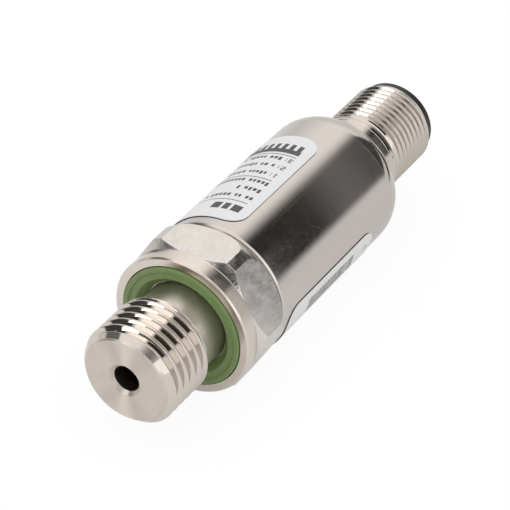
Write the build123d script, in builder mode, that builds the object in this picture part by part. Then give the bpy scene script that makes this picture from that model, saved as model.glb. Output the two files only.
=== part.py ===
from build123d import *
import os
from math import asin, cos, degrees, radians, sin, sqrt

os.makedirs("parts", exist_ok=True)

# Frame: +X runs along the sensor from the stud to the plug, x = 0 is the sealing face of the collar,
# +Z is up with the sensor lying on one flat of its hexagon. All sizes are in millimetres.

# Clearances
turned_gap = 0.05
board_gap = 0.1
pin_gap = 0.02
label_gap = 0.01
wire_lift = 0.01

# Stud, G 1/4 A: the cylinder stands for the thread at its outer diameter
stud_length = 12.0
thread_d = 13.157
stud_chamfer = 1.06
relief_d = 11.1
relief_length = 3.3
relief_chamfer = 0.5
bore_d = 3.5
bore_countersink = 0.45

# Collar and hexagon, turned from round bar: flats and can share one size, the collar stands proud
body_d = 18.85
collar_step = 0.075
collar_length = 2.1
collar_edge = 0.2
hex_corner_cut = 0.383
hex_length = 5.9
hex_front_chamfer = 0.85
hex_rear_radius = 3.0
ledge_step = 0.22
ledge_length = 0.35
pilot_length = 2.0
cell_boss_length = 2.0

# Sealing ring in the collar face
seal_inner_d = 11.6
seal_outer_d = 16.5
seal_thickness = 1.5
seal_proud = 0.25
seal_lip_width = 0.65
seal_lip_rise = 0.18
seal_edge = 0.15

# Can
housing_wall = 0.75
housing_straight = 26.45
housing_edge = 0.2
shoulder_radius = 4.7
neck_lip_step = 0.215
neck_lip_wall = 0.7
neck_lip_length = 1.15
neck_lip_chamfer = 0.2
neck_root_radius = 0.35

# Threaded plug neck, M12 x 1: the cylinder stands for the thread at its outer diameter
sleeve_thread_d = 11.97
sleeve_neck_step = 0.035
sleeve_neck_length = 1.2
sleeve_thread_length = 10.5
sleeve_chamfer = 0.5
sleeve_spigot_length = 2.6
sleeve_spigot_wall = 0.55

# Plastic insert and its pins
rim_step = 0.485
rim_length = 1.05
rim_edge = 0.2
socket_wall = 0.6
socket_depth = 9.15
carrier_floor = 6.0
key_width = 1.5
key_height = 0.65
key_setback = 0.8
key_root = 0.2
seal_groove_start = 3.0
seal_groove_width = 1.4
seal_groove_depth = 0.85
carrier_seal_width = 1.2
carrier_seal_round = 0.3
pin_count = 4
pin_ring_d = 5.5
pin_d = 1.0
pin_tip_setback = 1.7
pin_tip_round = 0.4
pin_collar_d = 1.5
pin_collar_length = 1.2
pin_tail_d = 0.7
pin_tail_reach = 0.4

# Pressure cell and its ring board
cell_base_d = 11.0
cell_base_length = 1.5
cell_body_d = 8.4
cell_height = 6.0
cell_cavity_d = 5.2
membrane = 0.3
film_d = 6.4
film_thickness = 0.1
cell_board_rim = 0.555
cell_board_thickness = 1.0
wire_count = 4
wire_d = 0.12
wire_start_r = 2.6
wire_end_r = 4.9
wire_rise = 0.8

# Moulded frame and main board
frame_wall = 1.3
frame_gap = 0.17
rail_width = 1.9
rail_height = 3.2
rail_end_gap = 3.0
main_board_rim = 1.155
main_board_thickness = 1.0
main_board_lead = 1.65
tongue_width = 4.0
tail_room = 0.6
connector_board_thickness = 1.0

# Small parts on the main board: length, width, height
signal_chip_size = (5.0, 5.0, 0.9)
output_chip_size = (4.9, 3.9, 1.5)
capacitor_size = (2.0, 1.25, 1.2)
resistor_size = (1.6, 0.8, 0.45)
diode_size = (2.6, 1.6, 1.1)
signal_chip_x = 7.5
output_chip_x = 12.5
capacitor_x = 2.6
resistor_x = 12.0
diode_x = 14.2
part_pitch = 2.4
flex_thickness = 0.2
flex_width = 4.0
flex_bend = 0.8
flex_foot = 1.5
flex_height = 5.4
flex_reach = 3.0
spring_thickness = 0.2
spring_width = 2.0
spring_bend = 0.8
spring_foot = 3.5
spring_x = 6.0
spring_setback = 0.12

# Labels on the can: width runs round the can, the angle of an edge is counted from the top towards -Y
label_thickness = 0.1
label_corner = 2.4
name_label_start = 1.65
name_label_length = 20.45
name_label_width = 27.0
name_label_angle = 10.8
code_label_start = 1.15
code_label_length = 20.8
code_label_width = 12.0
code_label_angle = 91.5

# Stations along the axis
hex_front = collar_length
hex_rear = hex_front + hex_length
housing_front = hex_rear + ledge_length
pilot_rear = housing_front + pilot_length
cell_front = pilot_rear + cell_boss_length
cell_top = cell_front + cell_height
cell_board_front = cell_top - cell_board_thickness
shoulder_start = housing_front + housing_straight
recess_depth = seal_thickness - seal_proud

# Radii that other pieces take
collar_r = body_d / 2 + collar_step
hex_corner_r = body_d / 2 / cos(radians(30)) - hex_corner_cut
housing_r = body_d / 2
housing_inner_r = housing_r - housing_wall
ledge_r = housing_r - ledge_step
pilot_r = housing_inner_r - turned_gap
recess_r = seal_outer_d / 2 + 2 * turned_gap
shoulder_centre_r = housing_r - shoulder_radius
sleeve_thread_r = sleeve_thread_d / 2
neck_lip_r = sleeve_thread_r + neck_lip_step
neck_lip_inner_r = neck_lip_r - neck_lip_wall
sleeve_spigot_r = neck_lip_inner_r - turned_gap
sleeve_bore_r = sleeve_spigot_r - sleeve_spigot_wall
carrier_r = sleeve_bore_r - turned_gap
socket_r = carrier_r - socket_wall
rim_r = sleeve_thread_r - rim_step
frame_r = housing_inner_r - frame_gap
cell_board_r = frame_r - cell_board_rim - turned_gap
main_board_width = 2 * (frame_r - main_board_rim)

# The shoulder's arcs end where they reach the neck lip
shoulder_end = shoulder_start + sqrt(shoulder_radius**2 - (neck_lip_r - shoulder_centre_r) ** 2)
inner_shoulder_radius = shoulder_radius - housing_wall
inner_rise = neck_lip_inner_r - shoulder_centre_r
inner_shoulder_end = shoulder_start + sqrt(inner_shoulder_radius**2 - inner_rise**2)

neck_lip_end = shoulder_end + neck_lip_length
sleeve_thread_start = neck_lip_end + sleeve_neck_length
sleeve_end = sleeve_thread_start + sleeve_thread_length
rim_end = sleeve_end + rim_length
socket_floor = rim_end - socket_depth
carrier_rear = socket_floor - carrier_floor
connector_board_front = carrier_rear - connector_board_thickness
main_board_front = cell_top + main_board_lead
main_board_rear = connector_board_front - pin_tail_reach - tail_room
main_board_top = main_board_thickness / 2


def radial_plane(angle):
    """Plane through the axis: local x along the sensor, local y outwards, angle from the top to -Y."""
    turn = radians(angle)
    return Plane(origin=(0, 0, 0), x_dir=(1, 0, 0), z_dir=(0, -cos(turn), -sin(turn)))


def skin_plane(x, angle, radius):
    """Plane that touches a cylinder of this radius: local x along the sensor, local y round to -Y."""
    turn = radians(angle)
    inward = Vector(0, sin(turn), -cos(turn))
    return Plane(origin=inward * -radius + Vector(x, 0, 0), x_dir=(1, 0, 0), z_dir=inward)


# Process port: one turned piece, hexagon first
hex_arc_centre_r = hex_corner_r - hex_rear_radius
hex_arc_end = degrees(asin((ledge_r - hex_arc_centre_r) / hex_rear_radius))
hex_arc_centre_x = hex_rear - hex_rear_radius * cos(radians(hex_arc_end))

with BuildPart() as process_port:
    with BuildSketch(Plane.XY):
        with BuildLine():
            Polyline(
                (hex_rear, ledge_r),
                (hex_rear, 0),
                (hex_front, 0),
                (hex_front, collar_r),
                (hex_front + hex_front_chamfer, hex_corner_r),
                (hex_arc_centre_x, hex_corner_r),
            )
            CenterArc(
                (hex_arc_centre_x, hex_arc_centre_r), hex_rear_radius, 90, hex_arc_end - 90
            )
        make_face()
    revolve(axis=Axis.X)
    with BuildSketch(Plane.YZ.offset(hex_front)):
        RegularPolygon(radius=body_d / 2, side_count=6, major_radius=False)
    extrude(amount=hex_length, mode=Mode.INTERSECT)
    with BuildSketch(Plane.XY):
        with BuildLine():
            Polyline(
                (-stud_length, 0),
                (-stud_length, thread_d / 2 - stud_chamfer),
                (-stud_length + stud_chamfer, thread_d / 2),
                (-relief_length - relief_chamfer, thread_d / 2),
                (-relief_length, relief_d / 2),
                (0, relief_d / 2),
                (0, collar_r - collar_edge),
                (collar_edge, collar_r),
                (hex_front, collar_r),
                (hex_front, 0),
                close=True,
            )
        make_face()
    revolve(axis=Axis.X)
    with BuildSketch(Plane.XY):
        with BuildLine():
            Polyline(
                (hex_rear, 0),
                (hex_rear, ledge_r),
                (housing_front, ledge_r),
                (housing_front, pilot_r),
                (pilot_rear, pilot_r),
                (pilot_rear, cell_base_d / 2),
                (cell_front, cell_base_d / 2),
                (cell_front, 0),
                close=True,
            )
        make_face()
    revolve(axis=Axis.X)
    with BuildSketch(Plane.XY):
        with BuildLine():
            Polyline(
                (0, relief_d / 2),
                (0, recess_r),
                (recess_depth, recess_r),
                (recess_depth, relief_d / 2),
                close=True,
            )
        make_face()
    revolve(axis=Axis.X, mode=Mode.SUBTRACT)
    with BuildSketch(Plane.XY):
        with BuildLine():
            Polyline(
                (-stud_length, 0),
                (-stud_length, bore_d / 2 + bore_countersink),
                (-stud_length + bore_countersink, bore_d / 2),
                (cell_front, bore_d / 2),
                (cell_front, 0),
                close=True,
            )
        make_face()
    revolve(axis=Axis.X, mode=Mode.SUBTRACT)

process_port.part.label = "process_port"
export_step(process_port.part, "parts/process_port.step")

# Sealing ring: a raised outer lip slopes down to the inner face
seal_lip_r = seal_outer_d / 2 - seal_lip_width
with BuildPart() as seal_ring:
    with BuildSketch(Plane.XY):
        with BuildLine():
            Polyline(
                (recess_depth, seal_inner_d / 2),
                (recess_depth, seal_outer_d / 2),
                (-seal_proud + seal_edge, seal_outer_d / 2),
                (-seal_proud, seal_outer_d / 2 - seal_edge),
                (-seal_proud, seal_lip_r),
                (-seal_proud + seal_lip_rise, seal_lip_r - seal_lip_rise),
                (-seal_proud + seal_lip_rise, seal_inner_d / 2 + seal_edge),
                (-seal_proud + seal_lip_rise + seal_edge, seal_inner_d / 2),
                close=True,
            )
        make_face()
    revolve(axis=Axis.X)

seal_ring.part.label = "seal_ring"
export_step(seal_ring.part, "parts/seal_ring.step")

# Can: drawn tube, rounded shoulder and a short neck lip
with BuildPart() as housing:
    with BuildSketch(Plane.XY):
        with BuildLine():
            Polyline(
                (inner_shoulder_end, neck_lip_inner_r),
                (neck_lip_end, neck_lip_inner_r),
                (neck_lip_end, neck_lip_r - neck_lip_chamfer),
                (neck_lip_end - neck_lip_chamfer, neck_lip_r),
                (shoulder_end, neck_lip_r),
            )
            outer_turn = degrees(asin((neck_lip_r - shoulder_centre_r) / shoulder_radius))
            CenterArc(
                (shoulder_start, shoulder_centre_r), shoulder_radius, outer_turn, 90 - outer_turn
            )
            Polyline(
                (shoulder_start, housing_r),
                (housing_front + housing_edge, housing_r),
                (housing_front, housing_r - housing_edge),
                (housing_front, housing_inner_r),
                (shoulder_start, housing_inner_r),
            )
            inner_turn = degrees(asin(inner_rise / inner_shoulder_radius))
            CenterArc(
                (shoulder_start, shoulder_centre_r), inner_shoulder_radius, inner_turn, 90 - inner_turn
            )
        make_face()
    revolve(axis=Axis.X)
    neck_root = housing.edges().filter_by(GeomType.CIRCLE)
    neck_root = neck_root.sort_by(lambda edge: abs(edge.center().X - shoulder_end))[0]
    fillet(neck_root, radius=neck_root_radius)

housing.part.label = "housing"
export_step(housing.part, "parts/housing.step")

# Threaded plug neck: its spigot stands in the can's neck lip
with BuildPart() as connector_sleeve:
    with BuildSketch(Plane.XY):
        with BuildLine():
            Polyline(
                (neck_lip_end - sleeve_spigot_length, sleeve_bore_r),
                (neck_lip_end - sleeve_spigot_length, sleeve_spigot_r),
                (neck_lip_end, sleeve_spigot_r),
                (neck_lip_end, sleeve_thread_r - sleeve_neck_step),
                (sleeve_thread_start, sleeve_thread_r - sleeve_neck_step),
                (sleeve_thread_start, sleeve_thread_r),
                (sleeve_end - sleeve_chamfer, sleeve_thread_r),
                (sleeve_end, sleeve_thread_r - sleeve_chamfer),
                (sleeve_end, sleeve_bore_r),
                close=True,
            )
        make_face()
    revolve(axis=Axis.X)

connector_sleeve.part.label = "connector_sleeve"
export_step(connector_sleeve.part, "parts/connector_sleeve.step")

# Plastic insert: rim on the sleeve's end, socket with a key rib, O-ring groove, four pin holes
groove_front = carrier_rear + seal_groove_start
groove_rear = groove_front + seal_groove_width
groove_r = carrier_r - seal_groove_depth
key_start = socket_floor - key_root
with BuildPart() as contact_carrier:
    with BuildSketch(Plane.XY):
        with BuildLine():
            Polyline(
                (carrier_rear, 0),
                (carrier_rear, carrier_r),
                (groove_front, carrier_r),
                (groove_front, groove_r),
                (groove_rear, groove_r),
                (groove_rear, carrier_r),
                (sleeve_end, carrier_r),
                (sleeve_end, rim_r),
                (rim_end - rim_edge, rim_r),
                (rim_end, rim_r - rim_edge),
                (rim_end, socket_r),
                (socket_floor, socket_r),
                (socket_floor, 0),
                close=True,
            )
        make_face()
    revolve(axis=Axis.X)
    with BuildSketch(Plane.YZ.offset(key_start)):
        with PolarLocations(socket_r, 1, start_angle=45):
            Rectangle(2 * key_height, key_width)
        Circle(socket_r + key_root, mode=Mode.INTERSECT)
    extrude(amount=rim_end - key_setback - key_start)
    with BuildSketch(Plane.YZ.offset(carrier_rear)):
        with PolarLocations(pin_ring_d / 2, pin_count):
            Circle(pin_d / 2 + pin_gap)
    extrude(amount=socket_floor - carrier_rear, mode=Mode.SUBTRACT)
    with BuildSketch(Plane.YZ.offset(carrier_rear)):
        with PolarLocations(pin_ring_d / 2, pin_count):
            Circle(pin_collar_d / 2 + pin_gap)
    extrude(amount=pin_collar_length, mode=Mode.SUBTRACT)

contact_carrier.part.label = "contact_carrier"
export_step(contact_carrier.part, "parts/contact_carrier.step")

# O-ring, pressed flat between the groove and the sleeve's bore
seal_slack = (seal_groove_width - carrier_seal_width) / 2
with BuildPart() as carrier_seal:
    with BuildSketch(Plane.XY):
        with Locations((groove_front + seal_slack, groove_r + pin_gap)):
            RectangleRounded(
                carrier_seal_width,
                sleeve_bore_r - groove_r - 2 * pin_gap,
                carrier_seal_round,
                align=(Align.MIN, Align.MIN),
            )
    revolve(axis=Axis.X)

carrier_seal.part.label = "carrier_seal"
export_step(carrier_seal.part, "parts/carrier_seal.step")

# Pins: tail through the connector board, collar in the insert's rear pocket, round tip
pin_tip = rim_end - pin_tip_setback
for number in range(pin_count):
    pin_angle = radians(360 / pin_count * number)
    pin_y = pin_ring_d / 2 * cos(pin_angle)
    pin_z = pin_ring_d / 2 * sin(pin_angle)
    with BuildPart() as contact_pin:
        with BuildSketch(Plane.YZ.offset(carrier_rear)):
            with Locations((pin_y, pin_z)):
                Circle(pin_d / 2)
        extrude(amount=pin_tip - carrier_rear)
        fillet(contact_pin.faces().sort_by(Axis.X)[-1].edges(), radius=pin_tip_round)
        with BuildSketch(Plane.YZ.offset(carrier_rear)):
            with Locations((pin_y, pin_z)):
                Circle(pin_collar_d / 2)
        extrude(amount=pin_collar_length)
        with BuildSketch(Plane.YZ.offset(connector_board_front - pin_tail_reach)):
            with Locations((pin_y, pin_z)):
                Circle(pin_tail_d / 2)
        extrude(amount=connector_board_thickness + pin_tail_reach)
    contact_pin.part.label = f"contact_pin_{number + 1}"
    export_step(contact_pin.part, f"parts/contact_pin_{number + 1}.step")

# Round board that the pins are soldered in, with a slot for the main board's tongue
with BuildPart() as connector_board:
    with BuildSketch(Plane.YZ.offset(connector_board_front)):
        Circle(sleeve_bore_r - board_gap)
        with PolarLocations(pin_ring_d / 2, pin_count):
            Circle(pin_tail_d / 2 + pin_gap, mode=Mode.SUBTRACT)
        Rectangle(
            tongue_width + 2 * pin_gap, main_board_thickness + 2 * pin_gap, mode=Mode.SUBTRACT
        )
    extrude(amount=connector_board_thickness)

connector_board.part.label = "connector_board"
export_step(connector_board.part, "parts/connector_board.step")

# Pressure cell: a cup welded on the port, closed by the membrane
with BuildPart() as pressure_cell:
    with BuildSketch(Plane.XY):
        with BuildLine():
            Polyline(
                (cell_front, cell_cavity_d / 2),
                (cell_front, cell_base_d / 2),
                (cell_front + cell_base_length, cell_base_d / 2),
                (cell_front + cell_base_length, cell_body_d / 2),
                (cell_top, cell_body_d / 2),
                (cell_top, 0),
                (cell_top - membrane, 0),
                (cell_top - membrane, cell_cavity_d / 2),
                close=True,
            )
        make_face()
    revolve(axis=Axis.X)

pressure_cell.part.label = "pressure_cell"
export_step(pressure_cell.part, "parts/pressure_cell.step")

with BuildPart() as gauge_film:
    with BuildSketch(Plane.YZ.offset(cell_top)):
        Circle(film_d / 2)
    extrude(amount=film_thickness)

gauge_film.part.label = "gauge_film"
export_step(gauge_film.part, "parts/gauge_film.step")

with BuildPart() as cell_board:
    with BuildSketch(Plane.YZ.offset(cell_board_front)):
        Circle(cell_board_r)
        Circle(cell_body_d / 2 + board_gap, mode=Mode.SUBTRACT)
    extrude(amount=cell_board_thickness)

cell_board.part.label = "cell_board"
export_step(cell_board.part, "parts/cell_board.step")

# Bond wires: arcs from the film to the ring board
wire_r = wire_d / 2
wire_foot = cell_top + wire_r + wire_lift
with BuildPart() as bond_wires:
    for number in range(wire_count):
        wire_plane = radial_plane(360 / wire_count * (number + 0.5))
        with BuildLine(wire_plane) as wire_path:
            ThreePointArc(
                (wire_foot + film_thickness, wire_start_r),
                (wire_foot + wire_rise, (wire_start_r + wire_end_r) / 2),
                (wire_foot, wire_end_r),
            )
        with BuildSketch(Plane(origin=wire_path.line @ 0, z_dir=wire_path.line % 0)):
            Circle(wire_r)
        sweep(path=wire_path.line)

bond_wires.part.label = "bond_wires"
export_step(bond_wires.part, "parts/bond_wires.step")

# Moulded frame: ring on the port's pilot, pocket for the ring board, two slotted rails
rail_end = connector_board_front - rail_end_gap
board_seat_r = frame_r - frame_wall
board_pocket_r = cell_board_r + turned_gap
with BuildPart() as board_frame:
    with BuildSketch(Plane.YZ.offset(cell_top)):
        for side in (-1, 1):
            with Locations((side * (frame_r - rail_width / 2), 0)):
                Rectangle(rail_width, rail_height)
        Circle(frame_r, mode=Mode.INTERSECT)
    extrude(amount=rail_end - cell_top)
    with BuildSketch(Plane.XY):
        with BuildLine():
            Polyline(
                (pilot_rear, board_seat_r),
                (pilot_rear, frame_r),
                (cell_top, frame_r),
                (cell_top, board_pocket_r),
                (cell_board_front, board_pocket_r),
                (cell_board_front, board_seat_r),
                close=True,
            )
        make_face()
    revolve(axis=Axis.X)
    with BuildSketch(Plane.YZ.offset(main_board_front)):
        Rectangle(main_board_width + 2 * board_gap, main_board_thickness + 2 * board_gap)
    extrude(amount=rail_end - main_board_front, mode=Mode.SUBTRACT)

board_frame.part.label = "board_frame"
export_step(board_frame.part, "parts/board_frame.step")

# Main board, its tongue stands in the connector board's slot
with BuildPart() as main_board:
    with BuildSketch(Plane.YZ.offset(main_board_front)):
        Rectangle(main_board_width, main_board_thickness)
    extrude(amount=main_board_rear - main_board_front)
    with BuildSketch(Plane.YZ.offset(main_board_rear)):
        Rectangle(tongue_width, main_board_thickness)
    extrude(amount=carrier_rear - main_board_rear)

main_board.part.label = "main_board"
export_step(main_board.part, "parts/main_board.step")


def place_chips(places, size, top):
    """Boxes of one size, each soldered at its place on the top or the bottom face of the main board."""
    side = 1 if top else -1
    with BuildSketch(Plane.XY.offset(side * main_board_top)) as feet:
        with Locations(*places):
            Rectangle(size[0], size[1])
    extrude(feet.sketch, amount=side * size[2])


def grid_places(x, count, y):
    """A row of places across the board, one part pitch apart, centred on y."""
    return [(x, y + part_pitch * (number - (count - 1) / 2)) for number in range(count)]


# Integrated circuits and the groups of small parts on the main board
with BuildPart() as signal_chip:
    place_chips([(main_board_front + signal_chip_x, 0)], signal_chip_size, top=True)
    fillet(signal_chip.edges().filter_by(Axis.Z), radius=turned_gap)

signal_chip.part.label = "signal_chip"
export_step(signal_chip.part, "parts/signal_chip.step")

with BuildPart() as output_chip:
    place_chips([(main_board_front + output_chip_x, 0)], output_chip_size, top=False)
    chamfer(output_chip.faces().sort_by(Axis.Z)[0].edges(), length=turned_gap)

output_chip.part.label = "output_chip"
export_step(output_chip.part, "parts/output_chip.step")

with BuildPart() as filter_capacitors:
    place_chips(grid_places(main_board_front + capacitor_x, 4, 0), capacitor_size, top=False)

filter_capacitors.part.label = "filter_capacitors"
export_step(filter_capacitors.part, "parts/filter_capacitors.step")

with BuildPart() as chip_resistors:
    resistor_row = main_board_front + resistor_x
    place_chips(grid_places(resistor_row, 4, 0), resistor_size, top=True)

chip_resistors.part.label = "chip_resistors"
export_step(chip_resistors.part, "parts/chip_resistors.step")

with BuildPart() as surge_diodes:
    diode_row = main_board_front + diode_x
    place_chips(grid_places(diode_row, 2, 0), diode_size, top=True)

surge_diodes.part.label = "surge_diodes"
export_step(surge_diodes.part, "parts/surge_diodes.step")

# Flat lead: off the ring board, along the axis and down to the main board
flex_line = flex_thickness / 2
flex_x = main_board_front + flex_reach
with BuildPart() as flex_lead:
    with BuildSketch(Plane.XZ) as flex_profile:
        with BuildLine():
            FilletPolyline(
                (cell_top + flex_line, flex_height + flex_foot),
                (cell_top + flex_line, flex_height),
                (flex_x - flex_foot, flex_height),
                (flex_x - flex_foot, main_board_top + flex_line),
                (flex_x, main_board_top + flex_line),
                radius=flex_bend,
            )
        trace(line_width=flex_thickness)
    extrude(amount=flex_width / 2, both=True)

flex_lead.part.label = "flex_lead"
export_step(flex_lead.part, "parts/flex_lead.step")

# Earth spring: soldered foot on the board's lower face, blade down to the can's wall
spring_line = spring_thickness / 2
spring_low = -(housing_inner_r - spring_setback - spring_line)
spring_start = main_board_front + spring_x
with BuildPart() as earth_spring:
    with BuildSketch(Plane.XZ):
        with BuildLine():
            FilletPolyline(
                (spring_start + spring_foot, -main_board_top - spring_line),
                (spring_start, -main_board_top - spring_line),
                (spring_start, spring_low),
                (spring_start + spring_foot, spring_low),
                radius=spring_bend,
            )
        trace(line_width=spring_thickness)
    extrude(amount=spring_width / 2, both=True)

earth_spring.part.label = "earth_spring"
export_step(earth_spring.part, "parts/earth_spring.step")


def label_band(start, length, width, edge):
    """Thin sheet bent round the can from its edge angle, with round corners."""
    radius = housing_r + label_gap
    span = degrees(width / housing_r)
    low_angle = min(edge, edge + span)
    with BuildSketch(radial_plane(low_angle)) as strip:
        with Locations((start, radius)):
            Rectangle(length, label_thickness, align=(Align.MIN, Align.MIN))
    revolve(strip.sketch, axis=Axis.X, revolution_arc=abs(span))
    cut = label_corner + label_thickness
    corner_turn = degrees(label_corner / housing_r)
    for side, angle in ((-1, low_angle + corner_turn), (1, low_angle + abs(span) - corner_turn)):
        for end, x in ((-1, start + label_corner), (1, start + length - label_corner)):
            with BuildSketch(skin_plane(x, angle, radius)) as corner:
                with Locations((end * cut / 2, side * cut / 2)):
                    Rectangle(cut, cut)
                Circle(label_corner, mode=Mode.SUBTRACT)
            extrude(corner.sketch, amount=label_corner, both=True, mode=Mode.SUBTRACT)


with BuildPart() as name_label:
    label_band(
        housing_front + name_label_start, name_label_length, -name_label_width, name_label_angle
    )

name_label.part.label = "name_label"
export_step(name_label.part, "parts/name_label.step")

with BuildPart() as code_label:
    label_band(
        housing_front + code_label_start, code_label_length, code_label_width, code_label_angle
    )

code_label.part.label = "code_label"
export_step(code_label.part, "parts/code_label.step")
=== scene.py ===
"""Looks of a pressure sensor that lies on its hexagon: threaded stud, can with labels and plug neck."""

import logging
import math
from collections.abc import Sequence
from dataclasses import dataclass
from enum import Enum, IntEnum

import bpy
import numpy as np
from mathutils import Matrix, Vector


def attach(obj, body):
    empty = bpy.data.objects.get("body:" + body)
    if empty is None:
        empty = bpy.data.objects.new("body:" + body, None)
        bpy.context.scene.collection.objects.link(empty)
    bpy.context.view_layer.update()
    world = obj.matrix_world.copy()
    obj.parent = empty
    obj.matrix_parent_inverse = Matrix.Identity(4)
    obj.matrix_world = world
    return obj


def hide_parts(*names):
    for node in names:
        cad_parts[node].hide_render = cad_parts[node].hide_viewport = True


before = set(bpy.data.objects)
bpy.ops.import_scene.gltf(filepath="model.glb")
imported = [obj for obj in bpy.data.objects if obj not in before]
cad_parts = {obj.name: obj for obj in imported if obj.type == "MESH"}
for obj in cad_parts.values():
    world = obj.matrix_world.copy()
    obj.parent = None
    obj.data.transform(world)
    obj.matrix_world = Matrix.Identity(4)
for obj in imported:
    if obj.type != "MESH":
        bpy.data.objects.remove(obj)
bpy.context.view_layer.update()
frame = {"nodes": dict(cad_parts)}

Colour = tuple[float, float, float]
Socket = bpy.types.NodeSocket
Feed = Socket | float

MM = 0.001
TURN = 2.0 * math.pi
WELD = 1e-6
LOG = logging.getLogger("sensor")


def arc(centre: tuple[float, float], radius: float, start: float, end: float, count: int) -> np.ndarray:
    """Points of a circle's arc in the profile plane.

    Formula: centre plus the radius times (cosine, sine) of an angle that runs evenly from start to end.

    Args:
        centre: Axial place and radius of the arc's centre, in mm.
        radius: Radius of the arc, in mm.
        start: First angle, in degrees from the axis direction.
        end: Last angle, in degrees.
        count: Number of points.

    Returns:
        Array of shape (count, 2) with axial place and radius.
    """
    angle = np.radians(np.linspace(start, end, count))
    return np.stack([centre[0] + radius * np.cos(angle), centre[1] + radius * np.sin(angle)], axis=-1)


def rounded(points: np.ndarray, radii: Sequence[float], steps: int = 5) -> np.ndarray:
    """A line of corners with each corner turned into a small arc.

    Formula: the arc touches both sides at the radius over the tangent of half the corner angle, and
    its points are the two touching directions mixed by sines, as on a circle. An arc takes at most 45 %
    of the shorter side. The first and last points stay as they are.

    Args:
        points: Corners, shape (n, m, 2): n stations along the line for m directions round the axis.
        radii: Radius for each corner, in mm, 0 for none.
        steps: Points on each arc.

    Returns:
        Array of shape (k, m, 2) with the corners rounded.
    """
    rows = [points[:1]]
    for index in range(1, len(points) - 1):
        if radii[index] <= 0:
            rows.append(points[index : index + 1])
            continue
        corner = points[index]
        back, ahead = points[index - 1] - corner, points[index + 1] - corner
        back_length = np.linalg.norm(back, axis=-1, keepdims=True)
        ahead_length = np.linalg.norm(ahead, axis=-1, keepdims=True)
        back = back / np.maximum(back_length, 1e-9)
        ahead = ahead / np.maximum(ahead_length, 1e-9)
        cosine = np.clip((back * ahead).sum(-1, keepdims=True), -0.9999, 0.9999)
        half = np.arccos(cosine) / 2
        reach = np.minimum(radii[index] / np.tan(half), 0.45 * np.minimum(back_length, ahead_length))
        radius = reach * np.tan(half)
        middle = (back + ahead) / np.maximum(np.linalg.norm(back + ahead, axis=-1, keepdims=True), 1e-9)
        centre = corner + middle * radius / np.sin(half)
        sweep = math.pi - 2 * half
        share = np.linspace(0, 1, steps).reshape(-1, 1, 1)
        first, last = corner + back * reach - centre, corner + ahead * reach - centre
        turned = np.sin((1 - share) * sweep) * first + np.sin(share * sweep) * last
        rows.append(centre + turned / np.sin(sweep))
    rows.append(points[-1:])
    return np.concatenate(rows)


def all_round(profile: Sequence[tuple[float, float]] | np.ndarray, directions: np.ndarray) -> np.ndarray:
    """The same profile line in every direction round the axis, shape (n, m, 2)."""
    line = np.asarray(profile, float)
    return np.repeat(line[:, None, :], len(directions), axis=1)


def place(stations: np.ndarray, directions: np.ndarray) -> np.ndarray:
    """Points of profile stations turned round the axis.

    Formula: (x, -r sin a, r cos a), where the angle a runs from the top towards -Y.

    Args:
        stations: Axial place and radius, shape (n, m, 2), in mm.
        directions: Angles in radians, shape (m,).

    Returns:
        Points of shape (n, m, 3), in mm.
    """
    along, out = stations[..., 0], stations[..., 1]
    return np.stack([along, -out * np.sin(directions), out * np.cos(directions)], axis=-1)


def grid_quads(rows: int, columns: int, closed: bool) -> np.ndarray:
    """Corner numbers of the quads between neighbouring rows and columns of a grid.

    Args:
        rows: Number of rows.
        columns: Number of columns.
        closed: Whether the last row joins the first.

    Returns:
        Array of shape (quads, 4).
    """
    last = rows if closed else rows - 1
    row, column = np.meshgrid(np.arange(last), np.arange(columns - 1), indexing="ij")
    below = (row + 1) % rows
    here, there = row * columns + column, below * columns + column
    return np.stack([here, here + 1, there + 1, there], axis=-1).reshape(-1, 4)


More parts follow.
